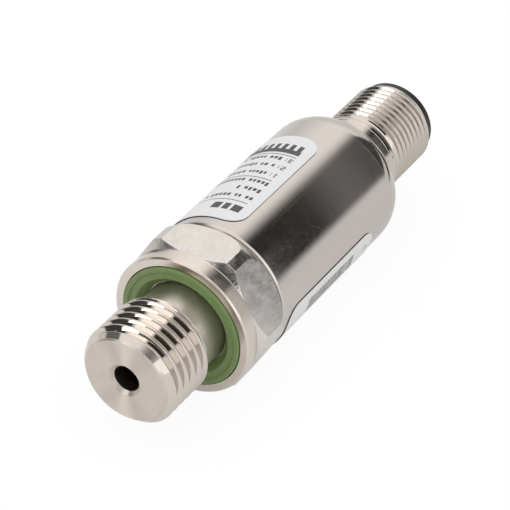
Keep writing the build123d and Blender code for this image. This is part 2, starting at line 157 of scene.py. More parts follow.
@dataclass
class Shell:
    """A surface of points in mm and quads, with a finish number for each quad."""

    points: np.ndarray
    quads: np.ndarray
    finish: np.ndarray

    @classmethod
    def from_grid(cls, grid: np.ndarray, closed: bool = True, zones: np.ndarray | None = None) -> "Shell":
        """A shell from a grid of points; zones gives the finish of each row or each quad."""
        rows, columns = grid.shape[:2]
        quads = grid_quads(rows, columns, closed)
        per_row = np.zeros(rows, int) if zones is None else zones
        spread = np.broadcast_to(per_row.reshape(rows, -1), (rows, columns - 1))
        return cls(grid.reshape(-1, 3), quads, spread[: rows if closed else rows - 1].ravel())

    @classmethod
    def joined(cls, shells: Sequence["Shell"]) -> "Shell":
        """One shell that holds several, each as it is."""
        counts = np.cumsum([0] + [len(shell.points) for shell in shells[:-1]])
        quads = np.concatenate([shell.quads + start for shell, start in zip(shells, counts)])
        points = np.concatenate([shell.points for shell in shells])
        return cls(points, quads, np.concatenate([shell.finish for shell in shells]))

    def welded(self) -> "Shell":
        """The shell with equal points made one, and quads that shrank to a line left out."""
        keys = np.round(self.points / WELD).astype(np.int64)
        _, first, number = np.unique(keys, axis=0, return_index=True, return_inverse=True)
        quads = number.reshape(-1)[self.quads]
        ordered = np.sort(quads, axis=1)
        kinds = 1 + (np.diff(ordered, axis=1) > 0).sum(axis=1)
        crossed = (quads[:, 0] == quads[:, 2]) | (quads[:, 1] == quads[:, 3])
        keep = (kinds >= 3) & ~crossed
        return Shell(self.points[first], quads[keep], self.finish[keep])

    def face_vectors(self) -> np.ndarray:
        """Normal of each quad, as long as its area: half the cross product of its diagonals."""
        corners = self.points[self.quads]
        return np.cross(corners[:, 2] - corners[:, 0], corners[:, 3] - corners[:, 1]) / 2

    def outward(self) -> "Shell":
        """The shell with its quads turned so that it encloses a positive volume."""
        centres = self.points[self.quads].mean(axis=1)
        if (centres * self.face_vectors()).sum() >= 0:
            return self
        return Shell(self.points, self.quads[:, ::-1], self.finish)

    def point_normals(self) -> np.ndarray:
        """Normal at each point: the sum of its faces' normals, the larger face counting more."""
        vectors = self.face_vectors()
        total = np.zeros_like(self.points)
        for corner in range(4):
            np.add.at(total, self.quads[:, corner], vectors)
        return total / np.maximum(np.linalg.norm(total, axis=1, keepdims=True), 1e-12)

    def build(self, name: str, materials: Sequence[bpy.types.Material]) -> bpy.types.Object:
        """Makes the Blender object of this shell, in metres, with smooth area-weighted normals.

        Args:
            name: Name of the object and its mesh.
            materials: Materials in the order of the finish numbers.

        Returns:
            The new object, at the origin.
        """
        shell = self.welded().outward()
        repeats = shell.quads == np.roll(shell.quads, 1, axis=1)
        sizes = 4 - repeats.sum(axis=1)
        mesh = bpy.data.meshes.new(name)
        mesh.vertices.add(len(shell.points))
        mesh.vertices.foreach_set("co", (shell.points * MM).astype(np.float32).ravel())
        mesh.loops.add(int(sizes.sum()))
        mesh.loops.foreach_set("vertex_index", shell.quads[~repeats].astype(np.int32))
        mesh.polygons.add(len(sizes))
        mesh.polygons.foreach_set("loop_start", (np.cumsum(sizes) - sizes).astype(np.int32))
        mesh.polygons.foreach_set("loop_total", sizes.astype(np.int32))
        mesh.polygons.foreach_set("material_index", shell.finish.astype(np.int32))
        mesh.polygons.foreach_set("use_smooth", np.ones(len(sizes), bool))
        mesh.update(calc_edges=True)
        mesh.validate()
        mesh.normals_split_custom_set_from_vertices(shell.point_normals().tolist())
        for material in materials:
            mesh.materials.append(material)
        piece = bpy.data.objects.new(name, mesh)
        bpy.context.scene.collection.objects.link(piece)
        return piece


class Graph:
    """Short calls for building a node tree."""

    def __init__(self, owner: bpy.types.Material | bpy.types.World) -> None:
        """Starts from the emptied tree of a material or world."""
        owner.use_nodes = True
        self.tree = owner.node_tree
        self.tree.nodes.clear()

    def node(self, kind: str, **settings: object) -> bpy.types.Node:
        """Adds a node and sets its properties."""
        made = self.tree.nodes.new(kind)
        for key, value in settings.items():
            setattr(made, key, value)
        return made

    def feed(self, socket: Socket, value: Feed | Colour) -> None:
        """Links a socket to another, or writes a constant on it."""
        if isinstance(value, bpy.types.NodeSocket):
            self.tree.links.new(value, socket)
        elif isinstance(value, tuple) and socket.type == "RGBA":
            socket.default_value = (*value, 1.0)
        else:
            socket.default_value = value

    def math(self, operation: str, first: Feed, second: Feed = 0.0, third: Feed = 0.0) -> Socket:
        """Result of one Math node."""
        made = self.node("ShaderNodeMath", operation=operation)
        for socket, value in zip(made.inputs, (first, second, third)):
            self.feed(socket, value)
        return made.outputs[0]

    def spread(self, value: Feed, low: float, high: float, to_low: float, to_high: float) -> Socket:
        """Value moved smoothly from one range to another and held at its ends."""
        made = self.node("ShaderNodeMapRange", interpolation_type="SMOOTHSTEP")
        for socket, part in zip(made.inputs, (value, low, high, to_low, to_high)):
            self.feed(socket, part)
        return made.outputs[0]

    def band(self, value: Socket, low: float, high: float, soft: float) -> Socket:
        """1 between two values and 0 outside, with edges that fade over soft."""
        away = self.math("ABSOLUTE", self.math("SUBTRACT", value, (low + high) / 2))
        half = (high - low) / 2
        return self.spread(away, half - soft / 2, half + soft / 2, 1.0, 0.0)

    def mix(self, share: Feed, first: Feed | Colour, second: Feed | Colour) -> Socket:
        """Colour between two colours."""
        made = self.node("ShaderNodeMix", data_type="RGBA")
        self.feed(made.inputs["Factor"], share)
        self.feed(made.inputs[6], first)
        self.feed(made.inputs[7], second)
        return made.outputs[2]

    def axes(self) -> tuple[Socket, Socket, Socket]:
        """Object coordinates in mm as three numbers."""
        coordinate = self.node("ShaderNodeTexCoord")
        scaled = self.node("ShaderNodeVectorMath", operation="SCALE")
        self.feed(scaled.inputs[0], coordinate.outputs["Object"])
        scaled.inputs["Scale"].default_value = 1.0 / MM
        split = self.node("ShaderNodeSeparateXYZ")
        self.feed(split.inputs[0], scaled.outputs[0])
        return split.outputs[0], split.outputs[1], split.outputs[2]

    def vector(self, first: Feed, second: Feed, third: Feed) -> Socket:
        """Three numbers as a vector."""
        made = self.node("ShaderNodeCombineXYZ")
        for socket, value in zip(made.inputs, (first, second, third)):
            self.feed(socket, value)
        return made.outputs[0]

    def noise(self, place_at: Socket, scale: float, detail: float = 2.0, rough: float = 0.5) -> Socket:
        """Fractal noise between 0 and 1 at a place given in mm."""
        made = self.node("ShaderNodeTexNoise")
        self.feed(made.inputs["Vector"], place_at)
        made.inputs["Scale"].default_value = scale
        made.inputs["Detail"].default_value = detail
        made.inputs["Roughness"].default_value = rough
        return made.outputs[0]

    def bump(self, height: Socket, depth: float) -> Socket:
        """Normal of a relief whose height is depth mm for a value of 1."""
        made = self.node("ShaderNodeBump")
        self.feed(made.inputs["Height"], height)
        made.inputs["Strength"].default_value = 1.0
        made.inputs["Distance"].default_value = depth * MM
        return made.outputs[0]

    def distance(self, first: Socket, second: Socket) -> Socket:
        """Root of the sum of two squares."""
        second_square = self.math("MULTIPLY", second, second)
        return self.math("SQRT", self.math("ADD", self.math("MULTIPLY", first, first), second_square))

    def degrees(self, operation: str, first: Feed, second: Feed = 0.0) -> Socket:
        """Angle in degrees, by one of the Math node's arc functions."""
        return self.math("MULTIPLY", self.math(operation, first, second), 180.0 / math.pi)

    def minus(self, value: Socket) -> Socket:
        """The value with its sign turned."""
        return self.math("MULTIPLY", value, -1.0)

    def both(self, first: Feed, second: Feed) -> Socket:
        """Share where both shares hold: their product."""
        return self.math("MULTIPLY", first, second)

    def plain(self, kind: str, colour: Socket | Colour, strength: float | None = None) -> Socket:
        """A shader of one colour, and of one strength where it has that."""
        made = self.node(kind)
        self.feed(made.inputs["Color"], colour)
        if strength is not None:
            made.inputs["Strength"].default_value = strength
        return made.outputs[0]

    def blend(self, share: Feed, first: Socket, second: Socket) -> Socket:
        """Shader between two shaders."""
        made = self.node("ShaderNodeMixShader")
        for socket, value in zip(made.inputs, (share, first, second)):
            self.feed(socket, value)
        return made.outputs[0]

    def finish(self, shader: Socket, kind: str = "ShaderNodeOutputMaterial") -> None:
        """Ends the tree with a shader."""
        self.feed(self.node(kind).inputs["Surface"], shader)


class Grain(Enum):
    """How the tool left its marks on the metal."""

    AXIAL = "fine lines along the sensor"
    TURNED = "fine rings round the axis"
    GROUND = "cloudy marks of grinding"
    POLISHED = "almost none"


@dataclass(frozen=True)
class Scratch:
    """A fine line on the can: ends along it in mm and round it in degrees, and its width in mm."""

    start: tuple[float, float]
    end: tuple[float, float]
    width: float = 0.05
    can_r: float = 9.425

    def mask(self, graph: Graph, along: Socket, around: Socket) -> Socket:
        """1 on the line and 0 beside it.

        Formula: the place is turned into the line's own two directions, and the mask is the product
        of a band along the line and a narrow band across it.

        Args:
            graph: The material's tree.
            along: Place along the can, in mm.
            around: Place round the can, in mm.

        Returns:
            The mask.
        """
        per_degree = self.can_r * math.pi / 180.0
        step = (self.end[0] - self.start[0], (self.end[1] - self.start[1]) * per_degree)
        length = math.hypot(*step)
        ahead, aside = step[0] / length, step[1] / length
        first = (self.start[0], self.start[1] * per_degree)
        run = -first[0] * ahead - first[1] * aside
        off = first[0] * aside - first[1] * ahead
        passed = graph.math("MULTIPLY_ADD", along, ahead, graph.math("MULTIPLY_ADD", around, aside, run))
        away = graph.math("MULTIPLY_ADD", along, -aside, graph.math("MULTIPLY_ADD", around, ahead, off))
        across = graph.band(away, -self.width / 2, self.width / 2, self.width * 0.9)
        return graph.math("MULTIPLY", graph.band(passed, 0.0, length, 0.3 * length), across)


@dataclass(frozen=True)
class Steel:
    """Bright steel with tool marks.

    Attributes:
        name: Name of the material.
        grain: Direction of the tool marks.
        colour: Reflected colour.
        roughness: Mean roughness.
        spread: How much the roughness varies.
        depth: Height of the tool marks, in mm.
        clouds: How much the colour varies.
        drawn_out: How much wider the gloss is across turned marks than along them.
        speckle: Extra roughness of fine specks.
        scratches: Fine lines on it.
    """

    name: str
    grain: Grain
    colour: Colour = (0.64, 0.59, 0.545)
    roughness: float = 0.2
    spread: float = 0.06
    depth: float = 0.002
    clouds: float = 0.06
    drawn_out: float = 0.0
    speckle: float = 0.0
    scratches: tuple[Scratch, ...] = ()

    def marks(self, graph: Graph) -> Socket:
        """Height of the tool marks between 0 and 1.

        Args:
            graph: The material's tree.

        Returns:
            Noise drawn out along the direction of the marks.
        """
        along, side, up = graph.axes()
        if self.grain is Grain.AXIAL:
            stretched = graph.vector(graph.math("MULTIPLY", along, 0.05), side, up)
            return graph.noise(stretched, 9.0, 3.0, 0.6)
        if self.grain is Grain.TURNED:
            ring = graph.vector(along, graph.distance(side, up), 0.0)
            return graph.noise(ring, 7.0, 3.0, 0.6)
        if self.grain is Grain.GROUND:
            stretched = graph.vector(graph.math("MULTIPLY", along, 0.2), side, up)
            return graph.noise(stretched, 3.5, 4.0, 0.6)
        return graph.noise(graph.vector(along, side, up), 2.0, 1.0, 0.5)

    def make(self) -> bpy.types.Material:
        """Makes the material.

        Returns:
            A metal whose colour, roughness and relief follow the marks and wider clouds.
        """
        material = bpy.data.materials.new(self.name)
        graph = Graph(material)
        along, side, up = graph.axes()
        marks = self.marks(graph)
        clouds = graph.noise(graph.vector(along, side, up), 0.55, 4.0, 0.6)
        dull = tuple(part * (1 - self.clouds) for part in self.colour)
        fresh = tuple(min(part * (1 + self.clouds), 1.0) for part in self.colour)
        surface = graph.node("ShaderNodeBsdfPrincipled")
        surface.inputs["Metallic"].default_value = 1.0
        tone = graph.math("MULTIPLY_ADD", marks, 0.5, graph.math("MULTIPLY", clouds, 0.5))
        graph.feed(surface.inputs["Base Color"], graph.mix(tone, dull, fresh))
        low, high = self.roughness - self.spread, self.roughness + self.spread
        gloss = graph.spread(clouds, 0.3, 0.7, low, high)
        if self.speckle > 0:
            specks = graph.noise(graph.vector(graph.math("MULTIPLY", along, 0.6), side, up), 8.0, 2.0, 0.7)
            gloss = graph.math("ADD", gloss, graph.spread(specks, 0.52, 0.72, 0.0, self.speckle))
        around = graph.math("ARCTAN2", graph.minus(side), up)
        for scratch in self.scratches:
            line = scratch.mask(graph, along, graph.math("MULTIPLY", around, scratch.can_r))
            gloss = graph.math("MAXIMUM", gloss, graph.math("MULTIPLY", line, 0.3))
        graph.feed(surface.inputs["Roughness"], gloss)
        if self.drawn_out > 0:
            surface.inputs["Anisotropic"].default_value = self.drawn_out
            surface.inputs["Anisotropic Rotation"].default_value = 0.25
            direction = graph.node("ShaderNodeTangent", direction_type="RADIAL", axis="X")
            graph.feed(surface.inputs["Tangent"], direction.outputs[0])
        graph.feed(surface.inputs["Normal"], graph.bump(marks, self.depth))
        graph.finish(surface.outputs[0])
        return material


@dataclass(frozen=True)
class Matt:
    """A rubber, plastic, film or lacquer finish with a fine grain.

    Attributes:
        name: Name of the material.
        colour: Main colour.
        second: Colour of its paler or darker clouds.
        roughness: Mean roughness.
        scale: Grains per mm.
        depth: Height of the grain, in mm.
        metallic: 1 for plated parts.
        specular: Specular level.
    """

    name: str
    colour: Colour
    second: Colour
    roughness: float = 0.5
    scale: float = 4.0
    depth: float = 0.004
    metallic: float = 0.0
    specular: float = 0.5

    def make(self) -> bpy.types.Material:
        """Makes the material.

        Returns:
            A surface with clouds in its colour, uneven gloss and a fine relief.
        """
        material = bpy.data.materials.new(self.name)
        graph = Graph(material)
        spot = graph.vector(*graph.axes())
        grain = graph.noise(spot, self.scale, 3.0, 0.6)
        clouds = graph.noise(spot, self.scale / 8, 3.0, 0.5)
        surface = graph.node("ShaderNodeBsdfPrincipled")
        surface.inputs["Metallic"].default_value = self.metallic
        surface.inputs["Specular IOR Level"].default_value = self.specular
        graph.feed(surface.inputs["Base Color"], graph.mix(clouds, self.colour, self.second))
        gloss = graph.spread(grain, 0.3, 0.7, self.roughness - 0.05, self.roughness + 0.05)
        graph.feed(surface.inputs["Roughness"], gloss)
        graph.feed(surface.inputs["Normal"], graph.bump(grain, self.depth))
        graph.finish(surface.outputs[0])
        return material


@dataclass(frozen=True)
class Thread:
    """A right-hand screw thread cut into a cylinder, all in mm and degrees.

    Attributes:
        crest_r: Outer radius.
        pitch: Advance of one turn.
        depth: Depth of the valley.
        half_angle: Angle between a flank and the radial direction.
        root_round: Radius of the valley's floor.
        crest_round: Radius of the crest's edges.
        valley_x: Axial place of a valley at the top of the sensor.
    """

    crest_r: float
    pitch: float
    depth: float
    half_angle: float
    root_round: float
    crest_round: float
    valley_x: float

    def radius(self, along: np.ndarray, directions: np.ndarray) -> np.ndarray:
        """Radius of the thread's surface.

        Formula: with u the axial distance to the nearest valley, whose place moves by one pitch a turn,
        the surface is an arc at the valley, a straight flank beside it and the crest's cylinder. The
        flank and the crest are blended by the smooth minimum (a + b - sqrt((a - b)^2 + w^2)) / 2.

        Args:
            along: Axial places.
            directions: Angles in radians, same shape.

        Returns:
            Radii of the same shape.
        """
        turns = (along - self.valley_x) / self.pitch - directions / TURN
        away = np.abs(turns - np.round(turns)) * self.pitch
        slope = math.radians(self.half_angle)
        root_r = self.crest_r - self.depth
        touch = self.root_round * math.cos(slope)
        bowl = root_r + self.root_round - np.sqrt(self.root_round**2 - np.minimum(away, touch) ** 2)
        flank = root_r + self.root_round * (1 - math.sin(slope)) + (away - touch) / math.tan(slope)
        surface = np.where(away < touch, bowl, flank)
        gap = surface - self.crest_r
        return (surface + self.crest_r - np.sqrt(gap**2 + self.crest_round**2)) / 2

    def phases(self) -> np.ndarray:
        """Places within one pitch where rows are needed, closer together on the curves."""
        slope = math.radians(self.half_angle)
        touch = self.root_round * math.cos(slope) / self.pitch
        rise = self.depth - self.root_round * (1 - math.sin(slope))
        corner = touch + rise * math.tan(slope) / self.pitch
        bend = 2.0 * self.crest_round / self.pitch
        side = np.concatenate(
            [
                np.linspace(0, touch, 4)[1:],
                np.linspace(touch, corner - bend, 5)[1:],
                np.linspace(corner - bend, corner + bend, 7)[1:],
            ]
        )
        return np.concatenate([[0.0], side, [0.5], 1 - side[::-1]])

    def rows(self, start: float, end: float, directions: np.ndarray) -> np.ndarray:
        """Axial places of grid rows that follow the helix and stop at both ends.

        Formula: valley place plus the pitch times (turn number + phase + angle / full turn), held
        between start and end.

        Args:
            start: First axial place.
            end: Last axial place.
            directions: Angles in radians.

        Returns:
            Array of shape (rows, directions).
        """
        first = math.floor((start - self.valley_x) / self.pitch) - 1
        last = math.ceil((end - self.valley_x) / self.pitch) + 1
        steps = (np.arange(first, last + 1)[:, None] + self.phases()[None, :]).reshape(-1, 1)
        along = self.valley_x + self.pitch * (steps + directions[None, :] / TURN)
        return np.clip(along, start, end)


def even_directions(count: int) -> np.ndarray:
    """Angles of a full turn in radians, first and last on the same line underneath."""
    return np.linspace(-math.pi, math.pi, count + 1)


class Zone(IntEnum):
    """Parts of the port with a finish of their own, in the order of its finishes."""

    FACE = 0
    THREAD = 1
    COLLAR = 2
    HEXAGON = 3
    BACK = 4
    BORE = 5
    RELIEF = 6


@dataclass
class ProcessPort:
    """Stud, relief, collar with its recess, hexagon, weld ledge and cell boss, turned in one."""

    stud_end: float = -12.0
    bore_r: float = 1.75
    countersink: float = 0.45
    stud_chamfer: float = 1.06
    crest_r: float = 6.5785
    relief_end: float = -3.3
    relief_r: float = 5.55
    relief_chamfer: float = 0.5
    recess_x: float = 1.25
    recess_r: float = 8.35
    collar_r: float = 9.5
    collar_edge: float = 0.2
    hex_front: float = 2.1
    hex_rear: float = 8.0
    hex_half: float = 9.425
    hex_corner_r: float = 10.5
    hex_chamfer: float = 0.85
    hex_rear_round: float = 3.0
    ledge_r: float = 9.205
    ledge_x: float = 8.35
    pilot_r: float = 8.625
    pilot_x: float = 10.35
    boss_r: float = 5.5
    boss_x: float = 12.35
    edge_round: float = 0.06
    first_cut: float = 0.2
    last_cut: float = 0.06
    lead: float = 0.3
    corner_blend: float = 0.03
    shelf_share: float = 0.04
    step_lead: float = 0.04

    def directions(self) -> np.ndarray:
        """Angles round the axis, with extra ones at the edges of the hexagon's lands."""
        even = np.degrees(even_directions(240))
        land = math.degrees(math.acos(self.hex_half / self.hex_corner_r))
        step = math.degrees(math.acos(self.hex_half / self.collar_r))
        faces = np.arange(-180, 181, 60)
        offsets = np.array([0.0, 0.15, 0.3, 0.5, 0.8])
        near = np.concatenate([land - offsets, land + offsets[1:], step + np.array([-0.3, 0, 0.3])])
        extra = (faces[:, None] + np.concatenate([near, -near])[None, :]).ravel()
        merged = np.unique(np.round(np.concatenate([even, extra[np.abs(extra) < 179.95]]), 3))
        keep = np.concatenate([[True], np.diff(merged) > 0.04])
        return np.radians(merged[keep])

    def hex_radius(self, directions: np.ndarray) -> np.ndarray:
        """Radius of the hexagon: half its width over the cosine, capped by the corner cylinder."""
        off = (directions + math.pi / 6) % (math.pi / 3) - math.pi / 6
        flat = self.hex_half / np.cos(off)
        gap = flat - self.hex_corner_r
        return (flat + self.hex_corner_r - np.sqrt(gap**2 + self.corner_blend**2)) / 2

    def hexagon(self, directions: np.ndarray) -> tuple[np.ndarray, list[float]]:
        """Corners of the hexagon's profile in each direction.

        Formula: the front cone rises from the collar to the hexagon's radius, and the rear arc of
        hex_rear_round falls from there to the ledge.

        Args:
            directions: Angles in radians.

        Returns:
            Corners of shape (n, m, 2) and the radius for each corner.
        """
        out = self.hex_radius(directions)
        rise = (self.hex_corner_r - self.collar_r) / self.hex_chamfer
        front = self.hex_front + np.maximum(out - self.collar_r, 0) / rise
        arc_r = self.hex_corner_r - self.hex_rear_round
        end = math.asin((self.ledge_r - arc_r) / self.hex_rear_round)
        arc_x = self.hex_rear - self.hex_rear_round * math.cos(end)
        start = np.arcsin(np.minimum((out - arc_r) / self.hex_rear_round, 1.0))
        share = np.linspace(0, 1, 9)[:, None]
        angle = start * (1 - share) + end * share
        rear_x = arc_x + self.hex_rear_round * np.cos(angle)
        rear_r = arc_r + self.hex_rear_round * np.sin(angle)
        rear = np.stack([rear_x, rear_r], axis=-1)
        step = np.stack([np.full_like(out, self.hex_front), np.minimum(out, self.collar_r)], axis=-1)
        shelf = np.stack([front, out], axis=-1)
        before = self.hex_front - self.step_lead
        lead = all_round([(x, self.collar_r) for x in (before, self.hex_front)], directions)
        near = step + self.shelf_share * (shelf - step)
        corners = np.concatenate([lead, step[None], near[None], shelf[None], rear])
        radii = [0.0, 0.0, 0.0, 0.0, self.edge_round, self.edge_round] + [0.0] * (len(rear) - 2) + [0.04]
        return corners, radii

    def stations(self, thread: Thread, directions: np.ndarray) -> tuple[np.ndarray, np.ndarray]:
        """All stations of the closed profile and the finish of each row.

        Args:
            thread: The stud's thread.
            directions: Angles in radians.

        Returns:
            Stations of shape (n, m, 2) and finish numbers of shape (n,).
        """
        face_r = self.crest_r - self.stud_chamfer
        cone_x = self.stud_end + self.first_cut
        front = rounded(
            all_round(
                [
                    (self.boss_x, self.bore_r),
                    (self.stud_end + self.countersink, self.bore_r),
                    (self.stud_end, self.bore_r + self.countersink),
                    (self.stud_end, (self.bore_r + face_r) / 2),
                    (self.stud_end, face_r),
                    (cone_x, face_r + self.first_cut),
                ],
                directions,
            ),
            [0, 0.08, 0.05, 0, 0.08, 0],
        )
        runout = self.relief_end - self.last_cut
        along = thread.rows(cone_x, runout, directions)
        angle = np.broadcast_to(directions, along.shape)
        fall = (self.crest_r - self.relief_r) / self.relief_chamfer
        cut = np.minimum(thread.radius(along, angle), face_r + along - self.stud_end)
        cut = np.minimum(cut, self.relief_r + (self.relief_end - along) * fall)
        threads = np.stack([along, cut], axis=-1)
        neck = [
            (runout, self.relief_r + self.last_cut * fall),
            (self.relief_end, self.relief_r),
            (self.recess_x, self.relief_r),
            (self.recess_x, self.recess_r),
            (0.0, self.recess_r),
            (0.0, self.collar_r - self.collar_edge),
            (self.collar_edge, self.collar_r),
            (self.hex_front - self.lead, self.collar_r),
        ]
        neck_rows = rounded(all_round(neck, directions), [0, 0.25, 0.2, 0.1, 0.05, 0.06, 0.06, 0])
        hexagon, radii = self.hexagon(directions)
        lead = all_round([(self.hex_front - self.lead, self.collar_r)], directions)
        rear = all_round([(self.ledge_x, self.ledge_r)], directions)
        hex_rows = rounded(np.concatenate([lead, hexagon, rear]), [0, *radii, 0])[1:-1]
        back = [
            (self.ledge_x, self.ledge_r),
            (self.ledge_x, self.pilot_r),
            (self.pilot_x, self.pilot_r),
            (self.pilot_x, self.boss_r),
            (self.boss_x, self.boss_r),
        ]
        back_rows = all_round(back, directions)
        parts = [front, threads, neck_rows, hex_rows, back_rows]
        zones = np.concatenate([np.full(len(part), zone) for zone, part in enumerate(parts)])
        # The bore's row takes the bore finish, whose dark colour is painted shade inside the hole.
        zones[0] = Zone.BORE
        first_neck = len(front) + len(threads)
        near_axis = neck_rows[:, 0, 1] < self.relief_r + self.relief_chamfer
        relief = (neck_rows[:, 0, 0] < self.recess_x) & near_axis
        zones[first_neck : first_neck + len(neck_rows)][relief] = Zone.RELIEF
        return np.concatenate(parts), zones

    def build(self, thread: Thread, finishes: Sequence[Steel]) -> bpy.types.Object:
        """Builds the port with its cut thread.

        Args:
            thread: The stud's thread.
            finishes: Finishes in the order of Zone.

        Returns:
            The finished piece.
        """
        directions = self.directions()
        stations, zones = self.stations(thread, directions)
        shell = Shell.from_grid(place(stations, directions), zones=zones)
        piece = shell.build("port_turned", [finish.make() for finish in finishes])
        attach(piece, "root")
        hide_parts("process_port")
        return piece


@dataclass
class SealRing:
    """Elastomer ring with a raised outer lip, in the collar's recess."""

    inner_r: float = 5.8
    outer_r: float = 8.25
    back_x: float = 1.25
    front_x: float = -0.25
    lip_width: float = 0.65
    lip_rise: float = 0.18
    inner_bevel: tuple[float, float] = (1.0, 0.85)

    def build(self, finish: Matt) -> bpy.types.Object:
        """Builds the ring.

        Args:
            finish: Finish of the elastomer.

        Returns:
            The finished piece.
        """
        directions = even_directions(192)
        lip_r = self.outer_r - self.lip_width
        low_x = self.front_x + self.lip_rise
        corners = [
            (self.back_x, (self.inner_r + self.outer_r) / 2),
            (self.back_x, self.outer_r),
            (self.front_x, self.outer_r),
            (self.front_x, lip_r),
            (low_x, lip_r - self.lip_rise),
            (low_x, self.inner_r + self.inner_bevel[1]),
            (low_x + self.inner_bevel[0], self.inner_r),
            (self.back_x, self.inner_r),
            (self.back_x, (self.inner_r + self.outer_r) / 2),
        ]
        radii = [0, 0.1, 0.18, 0.3, 0.3, 0.1, 0.1, 0.1, 0]
        stations = rounded(all_round(corners, directions), radii, 7)[:-1]
        piece = Shell.from_grid(place(stations, directions)).build("ring_moulded", [finish.make()])
        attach(piece, "root")
        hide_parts("seal_ring")
        return piece


@dataclass
class Can:
    """Drawn can with a rounded shoulder and a neck lip."""

    front_x: float = 8.35
    radius: float = 9.425
    wall: float = 0.75
    shoulder_x: float = 34.8
    shoulder_r: float = 4.7
    lip_r: float = 6.2
    lip_inner_r: float = 5.5
    lip_length: float = 1.15
    edge: float = 0.2
    lip_chamfer: float = 0.2
    outer_steps: int = 24
    inner_steps: int = 12

    def build(self, finish: Steel) -> bpy.types.Object:
        """Builds the can, with its inner wall.

        Args:
            finish: Finish of the steel.

        Returns:
            The finished piece.
        """
        directions = even_directions(256)
        centre_r = self.radius - self.shoulder_r
        outer_end = math.degrees(math.asin((self.lip_r - centre_r) / self.shoulder_r))
        lip_x = self.shoulder_x + math.sqrt(self.shoulder_r**2 - (self.lip_r - centre_r) ** 2)
        end_x = lip_x + self.lip_length
        inner = self.shoulder_r - self.wall
        inner_end = math.degrees(math.asin((self.lip_inner_r - centre_r) / inner))
        middle = (self.front_x + self.shoulder_x) / 2
        outside = arc((self.shoulder_x, centre_r), self.shoulder_r, 90, outer_end, self.outer_steps)
        inside = arc((self.shoulder_x, centre_r), inner, inner_end, 90, self.inner_steps)
        straight = self.radius - self.wall
        corners = np.concatenate(
            [
                [(middle, straight), (self.front_x, straight), (self.front_x, self.radius - self.edge)],
                [(self.front_x + self.edge, self.radius), (middle, self.radius)],
                outside,
                [(end_x - self.lip_chamfer, self.lip_r), (end_x, self.lip_r - self.lip_chamfer)],
                [(end_x, self.lip_inner_r)],
                inside,
                [(middle, straight)],
            ]
        )
        foot, lip = [0, 0.05, 0.08, 0.1, 0], [0.3, 0.08, 0.08, 0.05]
        radii = foot + [0] * (self.outer_steps - 1) + lip + [0] * (self.inner_steps + 1)
        stations = rounded(all_round(corners, directions), radii)[:-1]
        piece = Shell.from_grid(place(stations, directions)).build("can_drawn", [finish.make()])
        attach(piece, "root")
        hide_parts("housing")
        return piece


@dataclass
class PlugNeck:
    """Threaded neck for the plug's coupling nut."""

    spigot_x: float = 37.813
    spigot_r: float = 5.45
    bore_r: float = 4.9
    neck_x: float = 40.413
    neck_r: float = 5.95
    thread_x: float = 41.613
    end_x: float = 52.113
    crest_r: float = 5.985
    chamfer: float = 0.5
    runout: float = 1.6

    def build(self, thread: Thread, finishes: Sequence[Steel]) -> bpy.types.Object:
        """Builds the neck with its cut thread.

        Args:
            thread: The neck's thread.
            finishes: Finishes of the plain part and of the thread.

        Returns:
            The finished piece.
        """
        directions = even_directions(240)
        plain = [
            (self.end_x - 0.001, self.bore_r),
            (self.spigot_x, self.bore_r),
            (self.spigot_x, self.spigot_r),
            (self.neck_x, self.spigot_r),
            (self.neck_x, self.neck_r),
            (self.thread_x, self.neck_r),
            (self.thread_x + 0.05, self.crest_r - 0.002),
        ]
        front = rounded(all_round(plain, directions), [0, 0.1, 0.1, 0.05, 0.04, 0.02, 0])
        start = self.thread_x + 0.06
        along = thread.rows(start, self.end_x, directions)
        angle = np.broadcast_to(directions, along.shape)
        share = np.clip((along - self.thread_x - 0.3) / self.runout, 0, 1)
        growth = share * share * (3 - 2 * share)
        out = self.crest_r - (self.crest_r - thread.radius(along, angle)) * growth
        out = np.minimum(out, self.crest_r - self.chamfer + (self.end_x - along))
        threads = np.stack([along, out], axis=-1)
        close = all_round([(self.end_x, self.bore_r + 0.05)], directions)
        parts = [front, threads, close]
        zones = np.concatenate([np.full(len(part), min(zone, 1)) for zone, part in enumerate(parts)])
        shell = Shell.from_grid(place(np.concatenate(parts), directions), zones=zones)
        piece = shell.build("neck_threaded", [finish.make() for finish in finishes])
        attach(piece, "root")
        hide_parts("connector_sleeve")
        return piece


